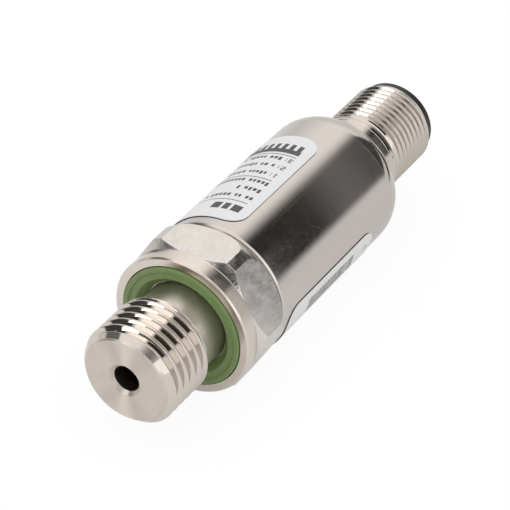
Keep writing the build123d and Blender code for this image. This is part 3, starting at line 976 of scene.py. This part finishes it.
@dataclass
class Label:
    """A polyester label bent round the can, with rounded corners.

    Attributes:
        name: Name of the piece.
        node: The CAD node that it stands for.
        start_x: Axial place of its end near the hexagon.
        length: Size along the can.
        width: Size round the can.
        upper_angle: Angle of its first edge, in degrees from the top towards -Y.
        sense: 1 where it runs on towards -Y and -1 where it runs back.
    """

    name: str
    node: str
    start_x: float
    length: float
    width: float
    upper_angle: float
    sense: int
    under_r: float = 9.435
    top_r: float = 9.531
    corner: float = 2.4
    steps: int = 61

    def half_width(self, along: np.ndarray) -> np.ndarray:
        """Half the width at a place: full, less a quarter circle at each corner."""
        away = np.minimum(along - self.start_x, self.start_x + self.length - along)
        short = self.corner - np.clip(away, 0, self.corner)
        return self.width / 2 - self.corner + np.sqrt(np.maximum(self.corner**2 - short**2, 0))

    def middle_angle(self) -> float:
        """Angle of the label's middle line, in radians."""
        return math.radians(self.upper_angle) + self.sense * self.width / 2 / self.top_r

    def build(self, finish: Matt, edge: Matt) -> bpy.types.Object:
        """Builds the label.

        Formula: each row is a closed loop over the top and back under it, whose half width follows
        the rounded corners. The first and last rows are pressed onto the middle surface to close it.

        Args:
            finish: Finish of the film.
            edge: Dark finish of its side walls and ends: painted shade of the gap under its edge, together
                with its dark adhesive.

        Returns:
            The finished piece.
        """
        turn = np.linspace(0, math.pi / 2, 12)
        ease = self.corner * (1 - np.cos(turn))
        end = self.start_x + self.length
        along = np.concatenate([self.start_x + ease, (end - ease)[::-1]])
        along = np.concatenate([along[:1], along, along[-1:]])
        across = np.linspace(-1, 1, self.steps)
        half = self.half_width(along)[:, None]
        round_by = np.concatenate([across, across[::-1]])[None, :] * half / self.top_r
        levels = np.repeat([self.top_r, self.under_r], self.steps)
        out = levels[None, :] + 0 * round_by
        out[0] = out[-1] = (self.top_r + self.under_r) / 2
        angle = self.middle_angle() + round_by
        grid = np.stack([along[:, None] + 0 * angle, -out * np.sin(angle), out * np.cos(angle)], axis=-1)
        grid = np.concatenate([grid, grid[:, :1]], axis=1)
        zones = np.zeros((len(grid), grid.shape[1] - 1), int)
        # Side walls and end rows take the second finish: a dark line round the label, painted shade of the
        # gap under its edge together with its adhesive.
        zones[:, self.steps - 1] = zones[:, -1] = 1
        zones[0] = zones[-2:] = 1
        shell = Shell.from_grid(grid, closed=False, zones=zones)
        piece = shell.build(self.name, [finish.make(), edge.make()])
        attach(piece, "root")
        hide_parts(self.node)
        return piece


@dataclass(frozen=True)
class Bar:
    """A straight printed mark: its places along the can and its distances from the label's first edge."""

    start_x: float
    end_x: float
    near: float
    far: float


@dataclass(frozen=True)
class Hoop:
    """A printed circle or dot: centre along the can and from the first edge, inner and outer radius."""

    centre_x: float
    centre_off: float
    inner: float
    outer: float


def numeral(figure: int, top_x: float, near: float, size: float, stroke: float) -> list[Bar]:
    """Strokes of a plain number, standing with its top towards the hexagon.

    Args:
        figure: 1, 2, 3 or 4.
        top_x: Place of its top along the can.
        near: Distance of its first side from the label's first edge.
        size: Height; its width is 0.6 of it.
        stroke: Width of the strokes.

    Returns:
        The bars.
    """
    half, wide = size / 2, 0.6 * size
    level = {"top": 0.0, "middle": half - stroke / 2, "foot": size - stroke}
    flat = {key: Bar(top_x + at, top_x + at + stroke, near, near + wide) for key, at in level.items()}
    spans = {"upper": (0.0, half), "lower": (half, size)}
    left = {key: Bar(top_x + a, top_x + b, near, near + stroke) for key, (a, b) in spans.items()}
    last = near + wide
    right = {key: Bar(top_x + a, top_x + b, last - stroke, last) for key, (a, b) in spans.items()}
    middle = Bar(top_x, top_x + size, near + (wide - stroke) / 2, near + (wide + stroke) / 2)
    return {
        1: [middle, Bar(top_x + size - stroke, top_x + size, near + 0.1 * size, near + 0.5 * size)],
        2: [flat["top"], right["upper"], flat["middle"], left["lower"], flat["foot"]],
        3: [flat["top"], right["upper"], flat["middle"], right["lower"], flat["foot"]],
        4: [left["upper"], flat["middle"], right["upper"], right["lower"]],
    }[figure]


def row_of_blocks(top_x: float, height: float, near: float, far: float, seed: int) -> list[Bar]:
    """A row of small blocks in groups, in place of a line of words.

    Args:
        top_x: Place of the row along the can.
        height: Height of a tall block.
        near: Distance of the first block from the label's first edge.
        far: Distance that the row doesn't pass.
        seed: Number that fixes the widths.

    Returns:
        The bars.
    """
    draw = np.random.default_rng(seed)
    count = int((far - near) / (0.9 * height)) + 1
    wide = draw.uniform(0.42, 0.62, count) * height
    gap = np.where(draw.random(count) < 0.2, 0.85, 0.26) * height
    start = near + np.concatenate([[0.0], np.cumsum(wide + gap)[:-1]])
    lower = np.where(draw.random(count) < 0.35, 0.0, 0.24) * height
    fits = start + wide < far
    return [
        Bar(top_x + float(cut), top_x + height, float(at), float(at + size))
        for at, size, cut in zip(start[fits], wide[fits], lower[fits])
    ]


@dataclass
class NamePlan:
    """What is printed on the label on top: blocks for words, plain numbers and the plug's pin plan."""

    title_x: float = 12.1
    title_height: float = 1.35
    first: float = 1.35
    titles: tuple[tuple[float, float], ...] = ((0.0, 1.25), (1.65, 0.85), (2.9, 1.25))
    rules: tuple[tuple[float, float], ...] = ((14.2, 23.5), (19.9, 13.0), (25.75, 13.0))
    rule_width: float = 0.13
    lines: tuple[tuple[float, float], ...] = ((14.95, 9.5), (16.85, 5.0), (18.65, 11.5))
    numbered: tuple[float, ...] = (20.7, 22.6, 24.45)
    comb: Bar = Bar(26.3, 27.2, 1.35, 12.6)
    teeth: int = 10

    def marks(self) -> list[Bar | Hoop]:
        """All marks of the label, in mm."""
        marks: list[Bar | Hoop] = []
        for at, wide in self.titles:
            near = self.first + at
            marks.append(Bar(self.title_x, self.title_x + self.title_height, near, near + wide))
        for rule_x, far in self.rules:
            marks.append(Bar(rule_x, rule_x + self.rule_width, self.first, far))
        for seed, (row_x, far) in enumerate(self.lines):
            marks += row_of_blocks(row_x, 0.78, self.first, far, seed)
        for figure, row_x in enumerate(self.numbered, start=1):
            marks += numeral(figure, row_x, self.first, 0.85, 0.15)
            marks += [Bar(row_x + dot, row_x + dot + 0.16, 2.15, 2.31) for dot in (0.2, 0.6)]
            marks += row_of_blocks(row_x + 0.05, 0.75, 2.9, 9.0, 10 + figure)
        marks.append(self.comb)
        for tooth in range(self.teeth):
            near = self.first + 0.2 + 1.12 * tooth
            marks.append(Bar(27.15, 28.4, near, near + 0.62))
        return marks + self.pin_plan(22.0, 18.4, 3.1)

    def pin_plan(self, centre_x: float, off: float, radius: float) -> list[Bar | Hoop]:
        """Circle with the four pins and the key, and the pins' numbers.

        Args:
            centre_x: Centre along the can.
            off: Centre from the label's first edge.
            radius: Radius of the circle.

        Returns:
            The marks.
        """
        marks: list[Bar | Hoop] = [Hoop(centre_x, off, radius - 0.16, radius)]
        ring, reach = 0.48 * radius, 0.5
        for figure, (way_x, way_off) in enumerate(((-1, 0), (0, 1), (1, 0), (0, -1)), start=1):
            spot_x, spot_off = centre_x + way_x * ring, off + way_off * ring
            marks.append(Hoop(spot_x, spot_off, 0.0, 0.42))
            outside_x = centre_x + way_x * (radius + reach + 0.35) - 0.45
            outside_off = off + way_off * (radius + reach + 0.25) - 0.27
            marks += numeral(figure, outside_x, outside_off, 0.9, 0.15)
        notch = 0.71 * radius
        key_x, key_off = centre_x - notch, off + notch
        marks.append(Bar(key_x - 0.1, key_x + 0.35, key_off - 0.35, key_off + 0.1))
        return marks


@dataclass
class CodePlan:
    """What is printed on the label at the side: a strip of bars and rows of blocks."""

    strip_start: float = 14.5
    strip_end: float = 25.6
    strip_seed: int = 41
    strip_bars: int = 42
    lines: tuple[tuple[float, float], ...] = ((12.6, 10.2), (16.2, 8.4), (20.0, 9.6))

    def marks(self) -> list[Bar | Hoop]:
        """All marks of the label, in mm."""
        draw = np.random.default_rng(self.strip_seed)
        count = self.strip_bars
        wide = draw.choice([0.11, 0.16, 0.26], count)
        gap = draw.choice([0.1, 0.15, 0.22], count)
        start = self.strip_start + np.concatenate([[0.0], np.cumsum(wide + gap)[:-1]])
        fits = start + wide < self.strip_end
        marks: list[Bar | Hoop] = [
            Bar(float(at), float(at + size), 1.3, 3.7) for at, size in zip(start[fits], wide[fits])
        ]
        marks += numeral(1, 28.0, 2.0, 1.0, 0.17)
        for seed, (row_x, far) in enumerate(self.lines, start=20):
            marks += row_of_blocks(row_x, 0.85, 5.2, far, seed)
        return marks


@dataclass
class Print:
    """Ink on a label, a thin film on its upper face."""

    label: Label
    marks: list[Bar | Hoop]
    top_r: float = 9.535
    under_r: float = 9.526
    step: float = 0.4

    def wrapped(self, along: np.ndarray, off: np.ndarray, out: np.ndarray) -> np.ndarray:
        """Places on the can: x stays, the distance from the first edge goes round, the height goes out."""
        angle = math.radians(self.label.upper_angle) + self.label.sense * off / self.label.top_r
        return np.stack([along, -out * np.sin(angle), out * np.cos(angle)], axis=-1)

    def bar(self, mark: Bar) -> Shell:
        """A bar: rows of loops over its top and back, with the end rows pressed flat to close it."""
        count = max(2, int((mark.far - mark.near) / self.step) + 2)
        across = np.linspace(mark.near, mark.far, count)
        along = np.array([mark.start_x, mark.start_x, mark.end_x, mark.end_x])[:, None]
        off = np.concatenate([across, across[::-1], across[:1]])[None, :] + 0 * along
        out = np.concatenate([np.full(count, self.top_r), np.full(count, self.under_r), [self.top_r]])
        out = out[None, :] + 0 * off
        out[0] = out[-1] = (self.top_r + self.under_r) / 2
        return Shell.from_grid(self.wrapped(along + 0 * off, off, out), closed=False)

    def hoop(self, mark: Hoop) -> Shell:
        """A hoop: a small square loop of inner and outer edge carried round a circle."""
        turn = np.linspace(0, TURN, 41)[:, None]
        reach = np.array([[mark.outer, mark.inner, mark.inner, mark.outer, mark.outer]])
        out = np.array([[self.top_r, self.top_r, self.under_r, self.under_r, self.top_r]]) + 0 * turn
        along = mark.centre_x + reach * np.cos(turn)
        off = mark.centre_off + reach * np.sin(turn)
        return Shell.from_grid(self.wrapped(along, off, out), closed=False)

    def build(self, name: str, finish: Matt) -> bpy.types.Object:
        """Builds the print.

        Args:
            name: Name of the piece.
            finish: Finish of the ink.

        Returns:
            The finished piece.
        """
        shells = [self.bar(mark) if isinstance(mark, Bar) else self.hoop(mark) for mark in self.marks]
        turned = [shell.welded().outward() for shell in shells]
        piece = Shell.joined(turned).build(name, [finish.make()])
        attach(piece, "root")
        return piece


@dataclass(frozen=True)
class Patch:
    """A card or a gap of the tent, by direction.

    Attributes:
        wide: First and last value of the first angle, in degrees.
        high: Lowest and highest value of the second angle, in degrees.
        soft: Width of its faded edge, in degrees.
        light: Light that comes from it.
    """

    wide: tuple[float, float]
    high: tuple[float, float]
    soft: float
    light: float


@dataclass
class Flag:
    """A dark cloth at the side of the sensor, seen only in the metal.

    Attributes:
        off: How far it hangs from the can along the mirrored line of sight, in mm.
        can_r: Radius of the can, in mm.
        cone: Angle between that line and the sensor's axis, in degrees.
        tilt: Turn of that line at the top of the can, in degrees towards +Y.
        length: Its ends along the can, as mirrored there, in mm.
        sweep: Its ends round the can, as mirrored there, in degrees from the top towards -Y.
        front_edge, upper_edge, lower_edge: Where its soft edges begin and end.
        hexagon_end: Where the part mirrored by the hexagon ends.
        hexagon_rise: How much sooner it ends below there.
        hexagon_fade: Angles between which it pales there.
        collar_end: Where the paler part mirrored by the collar ends.
        rear_part, shoulder_part: First place, last place and soft edge of its greyer parts.
        again: How much of it a second mirror sees.
    """

    off: float = 75.0
    can_r: float = 9.425
    cone: float = 46.9
    tilt: float = 34.7
    length: tuple[float, float] = (-12.0, 66.0)
    sweep: tuple[float, float] = (8.0, 76.0)
    front_edge: tuple[float, float] = (-9.0, -5.0)
    upper_edge: tuple[float, float] = (12.0, 27.0)
    lower_edge: tuple[float, float] = (57.0, 66.0)
    hexagon_end: tuple[float, float] = (5.5, 8.0)
    hexagon_rise: float = -5.0
    hexagon_fade: tuple[float, float] = (36.0, 43.0)
    collar_end: tuple[float, float] = (1.0, 4.0)
    rear_part: tuple[float, float, float] = (27.0, 39.0, 10.0)
    shoulder_part: tuple[float, float, float] = (45.0, 50.5, 2.5)
    again: float = 0.4
    black: Colour = (0.03, 0.03, 0.03)
    rear_grey: Colour = (0.21, 0.2, 0.2)
    shoulder_grey: Colour = (0.36, 0.36, 0.36)
    collar_pale: Colour = (0.66, 0.66, 0.66)
    hexagon_pale: Colour = (0.41, 0.43, 0.45)

    def surface(self) -> bpy.types.Mesh:
        """Mesh of the cloth with the mirrored place on the can as its map.

        Formula: from each point of the can, at x and an angle round it, go off along the direction
        that makes the cone angle with the axis and stands at twice the angle less the tilt.

        Returns:
            The mesh; its map holds x in metres and the angle over 100 degrees.
        """
        lengthwise, around = np.linspace(*self.length, 40), np.linspace(*self.sweep, 69)
        along, angle = np.meshgrid(lengthwise, around, indexing="ij")
        ray = np.radians(2 * angle - self.tilt)
        lean = math.radians(self.cone)
        side = self.can_r * np.sin(np.radians(angle)) + self.off * math.sin(lean) * np.sin(ray)
        up = self.can_r * np.cos(np.radians(angle)) + self.off * math.sin(lean) * np.cos(ray)
        grid = np.stack([along + self.off * math.cos(lean), -side, up], axis=-1)
        quads = grid_quads(*along.shape, closed=False)
        mesh = bpy.data.meshes.new("flag")
        mesh.from_pydata((grid.reshape(-1, 3) * MM).tolist(), [], quads.tolist())
        layer = mesh.uv_layers.new(name="mirrored")
        pairs = np.stack([along.ravel() * MM, angle.ravel() / 100], axis=-1)
        layer.data.foreach_set("uv", pairs[quads.ravel()].astype(np.float32).ravel())
        return mesh

    def cloth(self) -> bpy.types.Material:
        """Dark where the cloth hangs and clear round it.

        Returns:
            The material, with soft edges and a paler part beside the hexagon.
        """
        material = bpy.data.materials.new("flag_cloth")
        graph = Graph(material)
        split = graph.node("ShaderNodeSeparateXYZ")
        graph.feed(split.inputs[0], graph.node("ShaderNodeUVMap", uv_map="mirrored").outputs[0])
        along = graph.math("MULTIPLY", split.outputs[0], 1.0 / MM)
        angle = graph.math("MULTIPLY", split.outputs[1], 100.0)
        beside = graph.spread(along, *self.hexagon_end, 1.0, 0.0)
        upper = graph.spread(angle, *self.upper_edge, 0.0, 1.0)
        lower_place = graph.math("MULTIPLY_ADD", beside, self.hexagon_rise, angle)
        lower = graph.spread(lower_place, *self.lower_edge, 1.0, 0.0)
        front = graph.spread(along, *self.front_edge, 0.0, 1.0)
        covered = graph.both(graph.both(upper, lower), front)
        depth = graph.node("ShaderNodeLightPath").outputs["Ray Depth"]
        covered = graph.both(covered, graph.spread(depth, 1.0, 2.0, 1.0, self.again))
        dark = graph.mix(graph.band(along, *self.rear_part), self.black, self.rear_grey)
        dark = graph.mix(graph.band(along, *self.shoulder_part), dark, self.shoulder_grey)
        past_collar = graph.spread(along, *self.collar_end, 0.0, 1.0)
        pale = graph.mix(past_collar, self.collar_pale, self.hexagon_pale)
        faded = graph.both(beside, graph.spread(angle, *self.hexagon_fade, 0.0, 1.0))
        cloth = graph.plain("ShaderNodeEmission", graph.mix(faded, dark, pale))
        clear = graph.node("ShaderNodeBsdfTransparent").outputs[0]
        graph.finish(graph.blend(covered, clear, cloth))
        return material

    def build(self) -> None:
        """Hangs the cloth where only mirrored light meets it."""
        mesh = self.surface()
        mesh.materials.append(self.cloth())
        flag = bpy.data.objects.new("flag", mesh)
        flag.visible_camera = False
        flag.visible_diffuse = False
        flag.visible_transmission = False
        flag.visible_shadow = False
        bpy.context.scene.collection.objects.link(flag)


@dataclass
class Studio:
    """Pale floor, soft surroundings with dark gaps and pale cards, a dark cloth, and the camera.

    Attributes:
        floor_z: Height of the floor, in mm.
        floor_half: Half the side of the floor, in mm.
        front: Patches by the turn from -X towards -Y and the height above the horizon.
        side: Patches by the turn round the sensor, from the top to -Y, and the angle from +X.
        card: White card, given as the front patches are.
        sky, even: Light near the horizon and above, in the metal and for all else.
        sky_heights, even_heights: Angles between which they change, in degrees.
        paper: Colour of the floor, and its shade in the metal at the ends of shade_x, in mm.
        glow: Strength of the paper's own light; seen_glow and mirrored_glow are its shares.
        beyond: Dark edge of the floor that only metal shows: by reach and turn, and end-on by x and y.
        lens: Focal length for a 36 mm sensor, in mm.
        eye: Place of the camera, in mm.
        right: Direction to the picture's right.
        down: Direction to the picture's bottom.
        ahead: Direction of view.
    """

    floor_z: float = -9.5
    floor_half: float = 4000.0
    lens: float = 165.3
    eye: tuple[float, float, float] = (-182.637, -121.481, 175.177)
    right: tuple[float, float, float] = (0.5251, -0.8510, 0.0080)
    down: tuple[float, float, float] = (-0.5073, -0.3206, -0.7999)
    ahead: tuple[float, float, float] = (0.6833, 0.4160, -0.6001)
    front: tuple[Patch, ...] = (
        Patch((-56.0, 14.0), (-20.0, 12.0), 4.0, 0.05),
        Patch((-56.0, -38.0), (-20.0, 19.0), 4.0, 0.06),
        Patch((-70.0, -47.0), (13.0, 35.0), 6.0, 0.18),
        Patch((29.0, 64.0), (-3.0, 33.0), 4.0, 1.36),
    )
    side: tuple[Patch, ...] = (
        Patch((-11.0, 55.0), (139.5, 154.0), 4.0, 0.04),
        Patch((-15.0, 92.0), (153.0, 168.0), 3.0, 0.85),
        Patch((7.0, 88.0), (-9.0, 43.0), 5.0, 0.07),
        Patch((15.0, 120.0), (-9.0, 14.0), 5.0, 0.07),
        Patch((-84.0, -40.0), (72.0, 101.0), 5.0, 0.07),
        Patch((-35.0, 7.0), (58.0, 76.0), 4.0, 2.4),
        Patch((-30.0, -12.0), (74.0, 88.0), 4.0, 1.9),
        Patch((11.0, 57.0), (55.0, 65.5), 2.5, 0.05),
        Patch((17.0, 31.0), (75.0, 81.0), 2.0, 0.3),
        Patch((60.0, 88.0), (58.0, 72.0), 5.0, 1.5),
    )
    card: Patch = Patch((-34.0, -16.0), (4.0, 26.5), 1.5, 3.3)
    sky: tuple[Colour, Colour] = ((0.8, 0.79, 0.78), (1.15, 1.12, 1.09))
    sky_heights: tuple[float, float] = (4.0, 40.0)
    even: tuple[Colour, Colour] = ((0.98, 0.975, 0.97), (1.12, 1.115, 1.11))
    even_heights: tuple[float, float] = (0.0, 70.0)
    paper: Colour = (0.84, 0.84, 0.84)
    paper_mirrored: tuple[Colour, Colour] = ((0.86, 0.855, 0.85), (0.68, 0.675, 0.67))
    shade_x: tuple[float, float] = (-20.0, 60.0)
    white: Colour = (1.0, 1.0, 1.0)
    glow: float = 1.02
    seen_glow: float = 0.9
    mirrored_glow: float = 0.3
    beyond: Colour = (0.06, 0.055, 0.05)
    beyond_reach: tuple[float, float] = (150.0, 260.0)
    beyond_turn: tuple[float, float, float] = (-70.0, 25.0, 15.0)
    end_on_x: tuple[float, float] = (75.0, 92.0)
    end_on_y: tuple[float, float, float] = (-40.0, 22.0, 10.0)

    def camera(self) -> None:
        """Sets up the camera from its three directions."""
        data = bpy.data.cameras.new("camera")
        data.lens = self.lens
        data.sensor_width = 36.0
        data.clip_start = 0.01
        data.clip_end = 100.0
        eye = bpy.data.objects.new("camera", data)
        columns = Matrix((self.right, [-part for part in self.down], [-part for part in self.ahead]))
        eye.matrix_world = Matrix.Translation(Vector(self.eye) * MM) @ columns.transposed().to_4x4()
        bpy.context.scene.collection.objects.link(eye)
        bpy.context.scene.camera = eye

    def surroundings(self) -> None:
        """World light by direction: a pale tent with dark gaps and pale cards, even for matt surfaces."""
        world = bpy.data.worlds.new("tent")
        bpy.context.scene.world = world
        graph = Graph(world)
        coordinate = graph.node("ShaderNodeTexCoord")
        split = graph.node("ShaderNodeSeparateXYZ")
        graph.feed(split.inputs[0], coordinate.outputs["Generated"])
        along, side, up = split.outputs[0], split.outputs[1], split.outputs[2]
        height = graph.degrees("ARCSINE", up)
        turn = graph.degrees("ARCTAN2", graph.minus(side), graph.minus(along))
        about = graph.degrees("ARCTAN2", graph.minus(side), up)
        lean = graph.degrees("ARCCOSINE", along)
        light = graph.mix(graph.spread(height, *self.sky_heights, 0.0, 1.0), *self.sky)
        placed = [(patch, turn, height) for patch in self.front]
        placed += [(patch, about, lean) for patch in self.side] + [(self.card, turn, height)]
        for patch, wide, high in placed:
            across = graph.band(wide, *patch.wide, patch.soft)
            inside = graph.both(across, graph.band(high, *patch.high, patch.soft))
            light = graph.mix(inside, light, (patch.light, patch.light, patch.light))
        path = graph.node("ShaderNodeLightPath")
        even = graph.mix(graph.spread(height, *self.even_heights, 0.0, 1.0), *self.even)
        light = graph.mix(path.outputs["Is Diffuse Ray"], light, even)
        shown = graph.plain("ShaderNodeBackground", light)
        seen = graph.plain("ShaderNodeBackground", self.white)
        graph.finish(graph.blend(path.outputs["Is Camera Ray"], shown, seen), "ShaderNodeOutputWorld")

    def floor(self) -> None:
        """Pale floor whose shadow stays faint, also in the metal."""
        half = self.floor_half * MM
        grid = np.array([[-half, -half], [half, -half], [half, half], [-half, half]])
        mesh = bpy.data.meshes.new("floor")
        points = np.column_stack([grid, np.full(4, self.floor_z * MM)])
        mesh.from_pydata(points.tolist(), [], [[0, 1, 2, 3]])
        material = bpy.data.materials.new("pale_floor")
        graph = Graph(material)
        path = graph.node("ShaderNodeLightPath")
        glossy = path.outputs["Is Glossy Ray"]
        along, side, _ = graph.axes()
        turn = graph.degrees("ARCTAN2", graph.minus(side), graph.minus(along))
        reach = graph.spread(graph.distance(along, side), *self.beyond_reach, 0.0, 1.0)
        far = graph.both(reach, graph.band(turn, *self.beyond_turn))
        end_on = graph.both(graph.spread(along, *self.end_on_x, 0.0, 1.0), graph.band(side, *self.end_on_y))
        dark = graph.both(glossy, graph.math("MAXIMUM", far, end_on))
        shade = graph.mix(graph.spread(along, *self.shade_x, 0.0, 1.0), *self.paper_mirrored)
        paper = graph.plain("ShaderNodeBsdfDiffuse", graph.mix(glossy, self.paper, shade))
        glow = graph.plain("ShaderNodeEmission", self.white, self.glow)
        mirrored = graph.math("MAXIMUM", glossy, path.outputs["Is Transmission Ray"])
        mirrored_lift = graph.both(mirrored, self.mirrored_glow)
        lift = graph.math("MULTIPLY_ADD", path.outputs["Is Camera Ray"], self.seen_glow, mirrored_lift)
        beyond = graph.plain("ShaderNodeEmission", self.beyond)
        graph.finish(graph.blend(dark, graph.blend(lift, paper, glow), beyond))
        mesh.materials.append(material)
        ground = bpy.data.objects.new("floor", mesh)
        bpy.context.scene.collection.objects.link(ground)

    def build(self) -> None:
        """Sets up camera, surroundings and floor."""
        bpy.context.scene.view_settings.view_transform = "Standard"
        self.camera()
        self.surroundings()
        self.floor()
        Flag().build()


@dataclass
class Insides:
    """Finishes of the CAD nodes that keep their own meshes."""

    def finishes(self) -> dict[Matt, tuple[str, ...]]:
        """Which finish goes on which nodes."""
        black = Matt("insert_black", (0.02, 0.02, 0.022), (0.03, 0.03, 0.032), 0.4, 6.0, 0.004, specular=0.3)
        rubber = Matt("o_ring_black", (0.018, 0.018, 0.018), (0.03, 0.03, 0.03), 0.55, 5.0, 0.003)
        gold = Matt("pin_gold", (0.86, 0.62, 0.27), (0.95, 0.72, 0.38), 0.2, 3.0, 0.0006, 1.0)
        board = Matt("board_green", (0.02, 0.14, 0.05), (0.03, 0.2, 0.08), 0.35, 2.0, 0.003)
        film = Matt("gauge_violet", (0.24, 0.18, 0.3), (0.34, 0.28, 0.38), 0.25, 3.0, 0.001)
        chip = Matt("chip_black", (0.02, 0.02, 0.022), (0.035, 0.035, 0.038), 0.5, 8.0, 0.005)
        tan = Matt("capacitor_tan", (0.42, 0.3, 0.18), (0.52, 0.4, 0.27), 0.45, 6.0, 0.003)
        amber = Matt("flex_amber", (0.5, 0.2, 0.02), (0.62, 0.3, 0.05), 0.25, 2.0, 0.001)
        strip = Matt("spring_strip", (0.55, 0.54, 0.52), (0.66, 0.65, 0.63), 0.25, 3.0, 0.001, 1.0)
        cup = Matt("cell_steel", (0.58, 0.55, 0.52), (0.68, 0.65, 0.61), 0.22, 3.0, 0.001, 1.0)
        return {
            black: ("contact_carrier", "board_frame"),
            rubber: ("carrier_seal",),
            gold: ("contact_pin_1", "contact_pin_2", "contact_pin_3", "contact_pin_4", "bond_wires"),
            board: ("connector_board", "cell_board", "main_board"),
            film: ("gauge_film",),
            chip: ("signal_chip", "output_chip", "chip_resistors", "surge_diodes"),
            tan: ("filter_capacitors",),
            amber: ("flex_lead",),
            strip: ("earth_spring",),
            cup: ("pressure_cell",),
        }

    def dress(self, nodes: dict[str, bpy.types.Object]) -> None:
        """Puts the finishes on the nodes."""
        for finish, names in self.finishes().items():
            material = finish.make()
            for name in names:
                for slot in nodes[name].material_slots:
                    slot.material = material


def main() -> None:
    """Builds the studio and each piece, and reports them."""
    logging.basicConfig(level=logging.INFO, format="%(message)s")
    Studio().build()
    stud_thread = Thread(6.5785, 1.337, 0.856, 27.5, 0.184, 0.05, -10.71)
    neck_thread = Thread(5.985, 1.0, 0.6134, 30.0, 0.144, 0.04, 42.72)
    bar = (0.68, 0.62, 0.56)
    face = Steel("stud_face_steel", Grain.TURNED, bar, 0.44, 0.04, 0.005, 0.05, drawn_out=0.9)
    mirror = Steel("thread_steel", Grain.POLISHED, roughness=0.06, spread=0.02, depth=0.0005, clouds=0.03)
    collar = Steel("collar_steel", Grain.TURNED, bar, 0.17, 0.04, 0.001, 0.05, drawn_out=0.5)
    ground = Steel("hexagon_steel", Grain.GROUND, (0.66, 0.63, 0.6), 0.18, 0.08, 0.02, 0.2)
    # The bore's steel is given a much darker colour than the rest of the port: painted shade inside the
    # hole.
    shaded_bore = Steel("bore_steel_painted_shade", Grain.TURNED, (0.3, 0.24, 0.2), 0.35, 0.04, 0.002)
    relief = Steel("relief_steel", Grain.TURNED, roughness=0.31, spread=0.03, depth=0.001, drawn_out=0.8)
    port = ProcessPort().build(stud_thread, [face, mirror, collar, ground, collar, shaded_bore, relief])
    green = Matt("seal_green", (0.145, 0.215, 0.072), (0.182, 0.268, 0.098), 0.45, 5.0, 0.006)
    ring = SealRing().build(green)
    lines = (
        Scratch((13.0, 27.5), (24.0, 27.6), 0.04),
        Scratch((22.3, 41.0), (22.7, 57.0)),
        Scratch((23.5, 24.0), (26.0, 58.0), 0.04),
        Scratch((24.6, 34.0), (25.6, 60.0), 0.06),
        Scratch((18.2, 47.0), (19.6, 55.0), 0.04),
    )
    pale = (0.6, 0.565, 0.535)
    satin = Steel("can_steel", Grain.AXIAL, pale, 0.12, 0.015, 0.0012, 0.03, speckle=0.13, scratches=lines)
    can = Can().build(satin)
    plain = Steel("neck_steel", Grain.TURNED, roughness=0.12, depth=0.0006)
    neck = PlugNeck().build(neck_thread, [plain, mirror])
    film = Matt("label_film", (0.69, 0.7, 0.71), (0.72, 0.73, 0.735), 0.4, 3.0, 0.001)
    # Dark colour of the labels' side walls and ends: painted shade of the gap under the edge, together with
    # the dark adhesive there.
    cut = Matt("label_edge_shade_and_glue", (0.09, 0.08, 0.08), (0.14, 0.13, 0.13), 0.6, 6.0, 0.001)
    name_label = Label("name_label_film", "name_label", 10.0, 20.45, 27.0, 10.8, -1)
    code_label = Label("code_label_film", "code_label", 9.5, 20.8, 12.0, 91.5, 1)
    ink = Matt("label_ink", (0.05, 0.043, 0.046), (0.075, 0.066, 0.07), 0.45, 5.0, 0.0006)
    name_film, code_film = name_label.build(film, cut), code_label.build(film, cut)
    name_print = Print(name_label, NamePlan().marks()).build("name_label_print", ink)
    code_print = Print(code_label, CodePlan().marks()).build("code_label_print", ink)
    Insides().dress(frame["nodes"])
    for piece in (port, ring, can, neck, name_film, code_film, name_print, code_print):
        LOG.info("%s: %d faces", piece.name, len(piece.data.polygons))


if __name__ == "__main__":
    main()
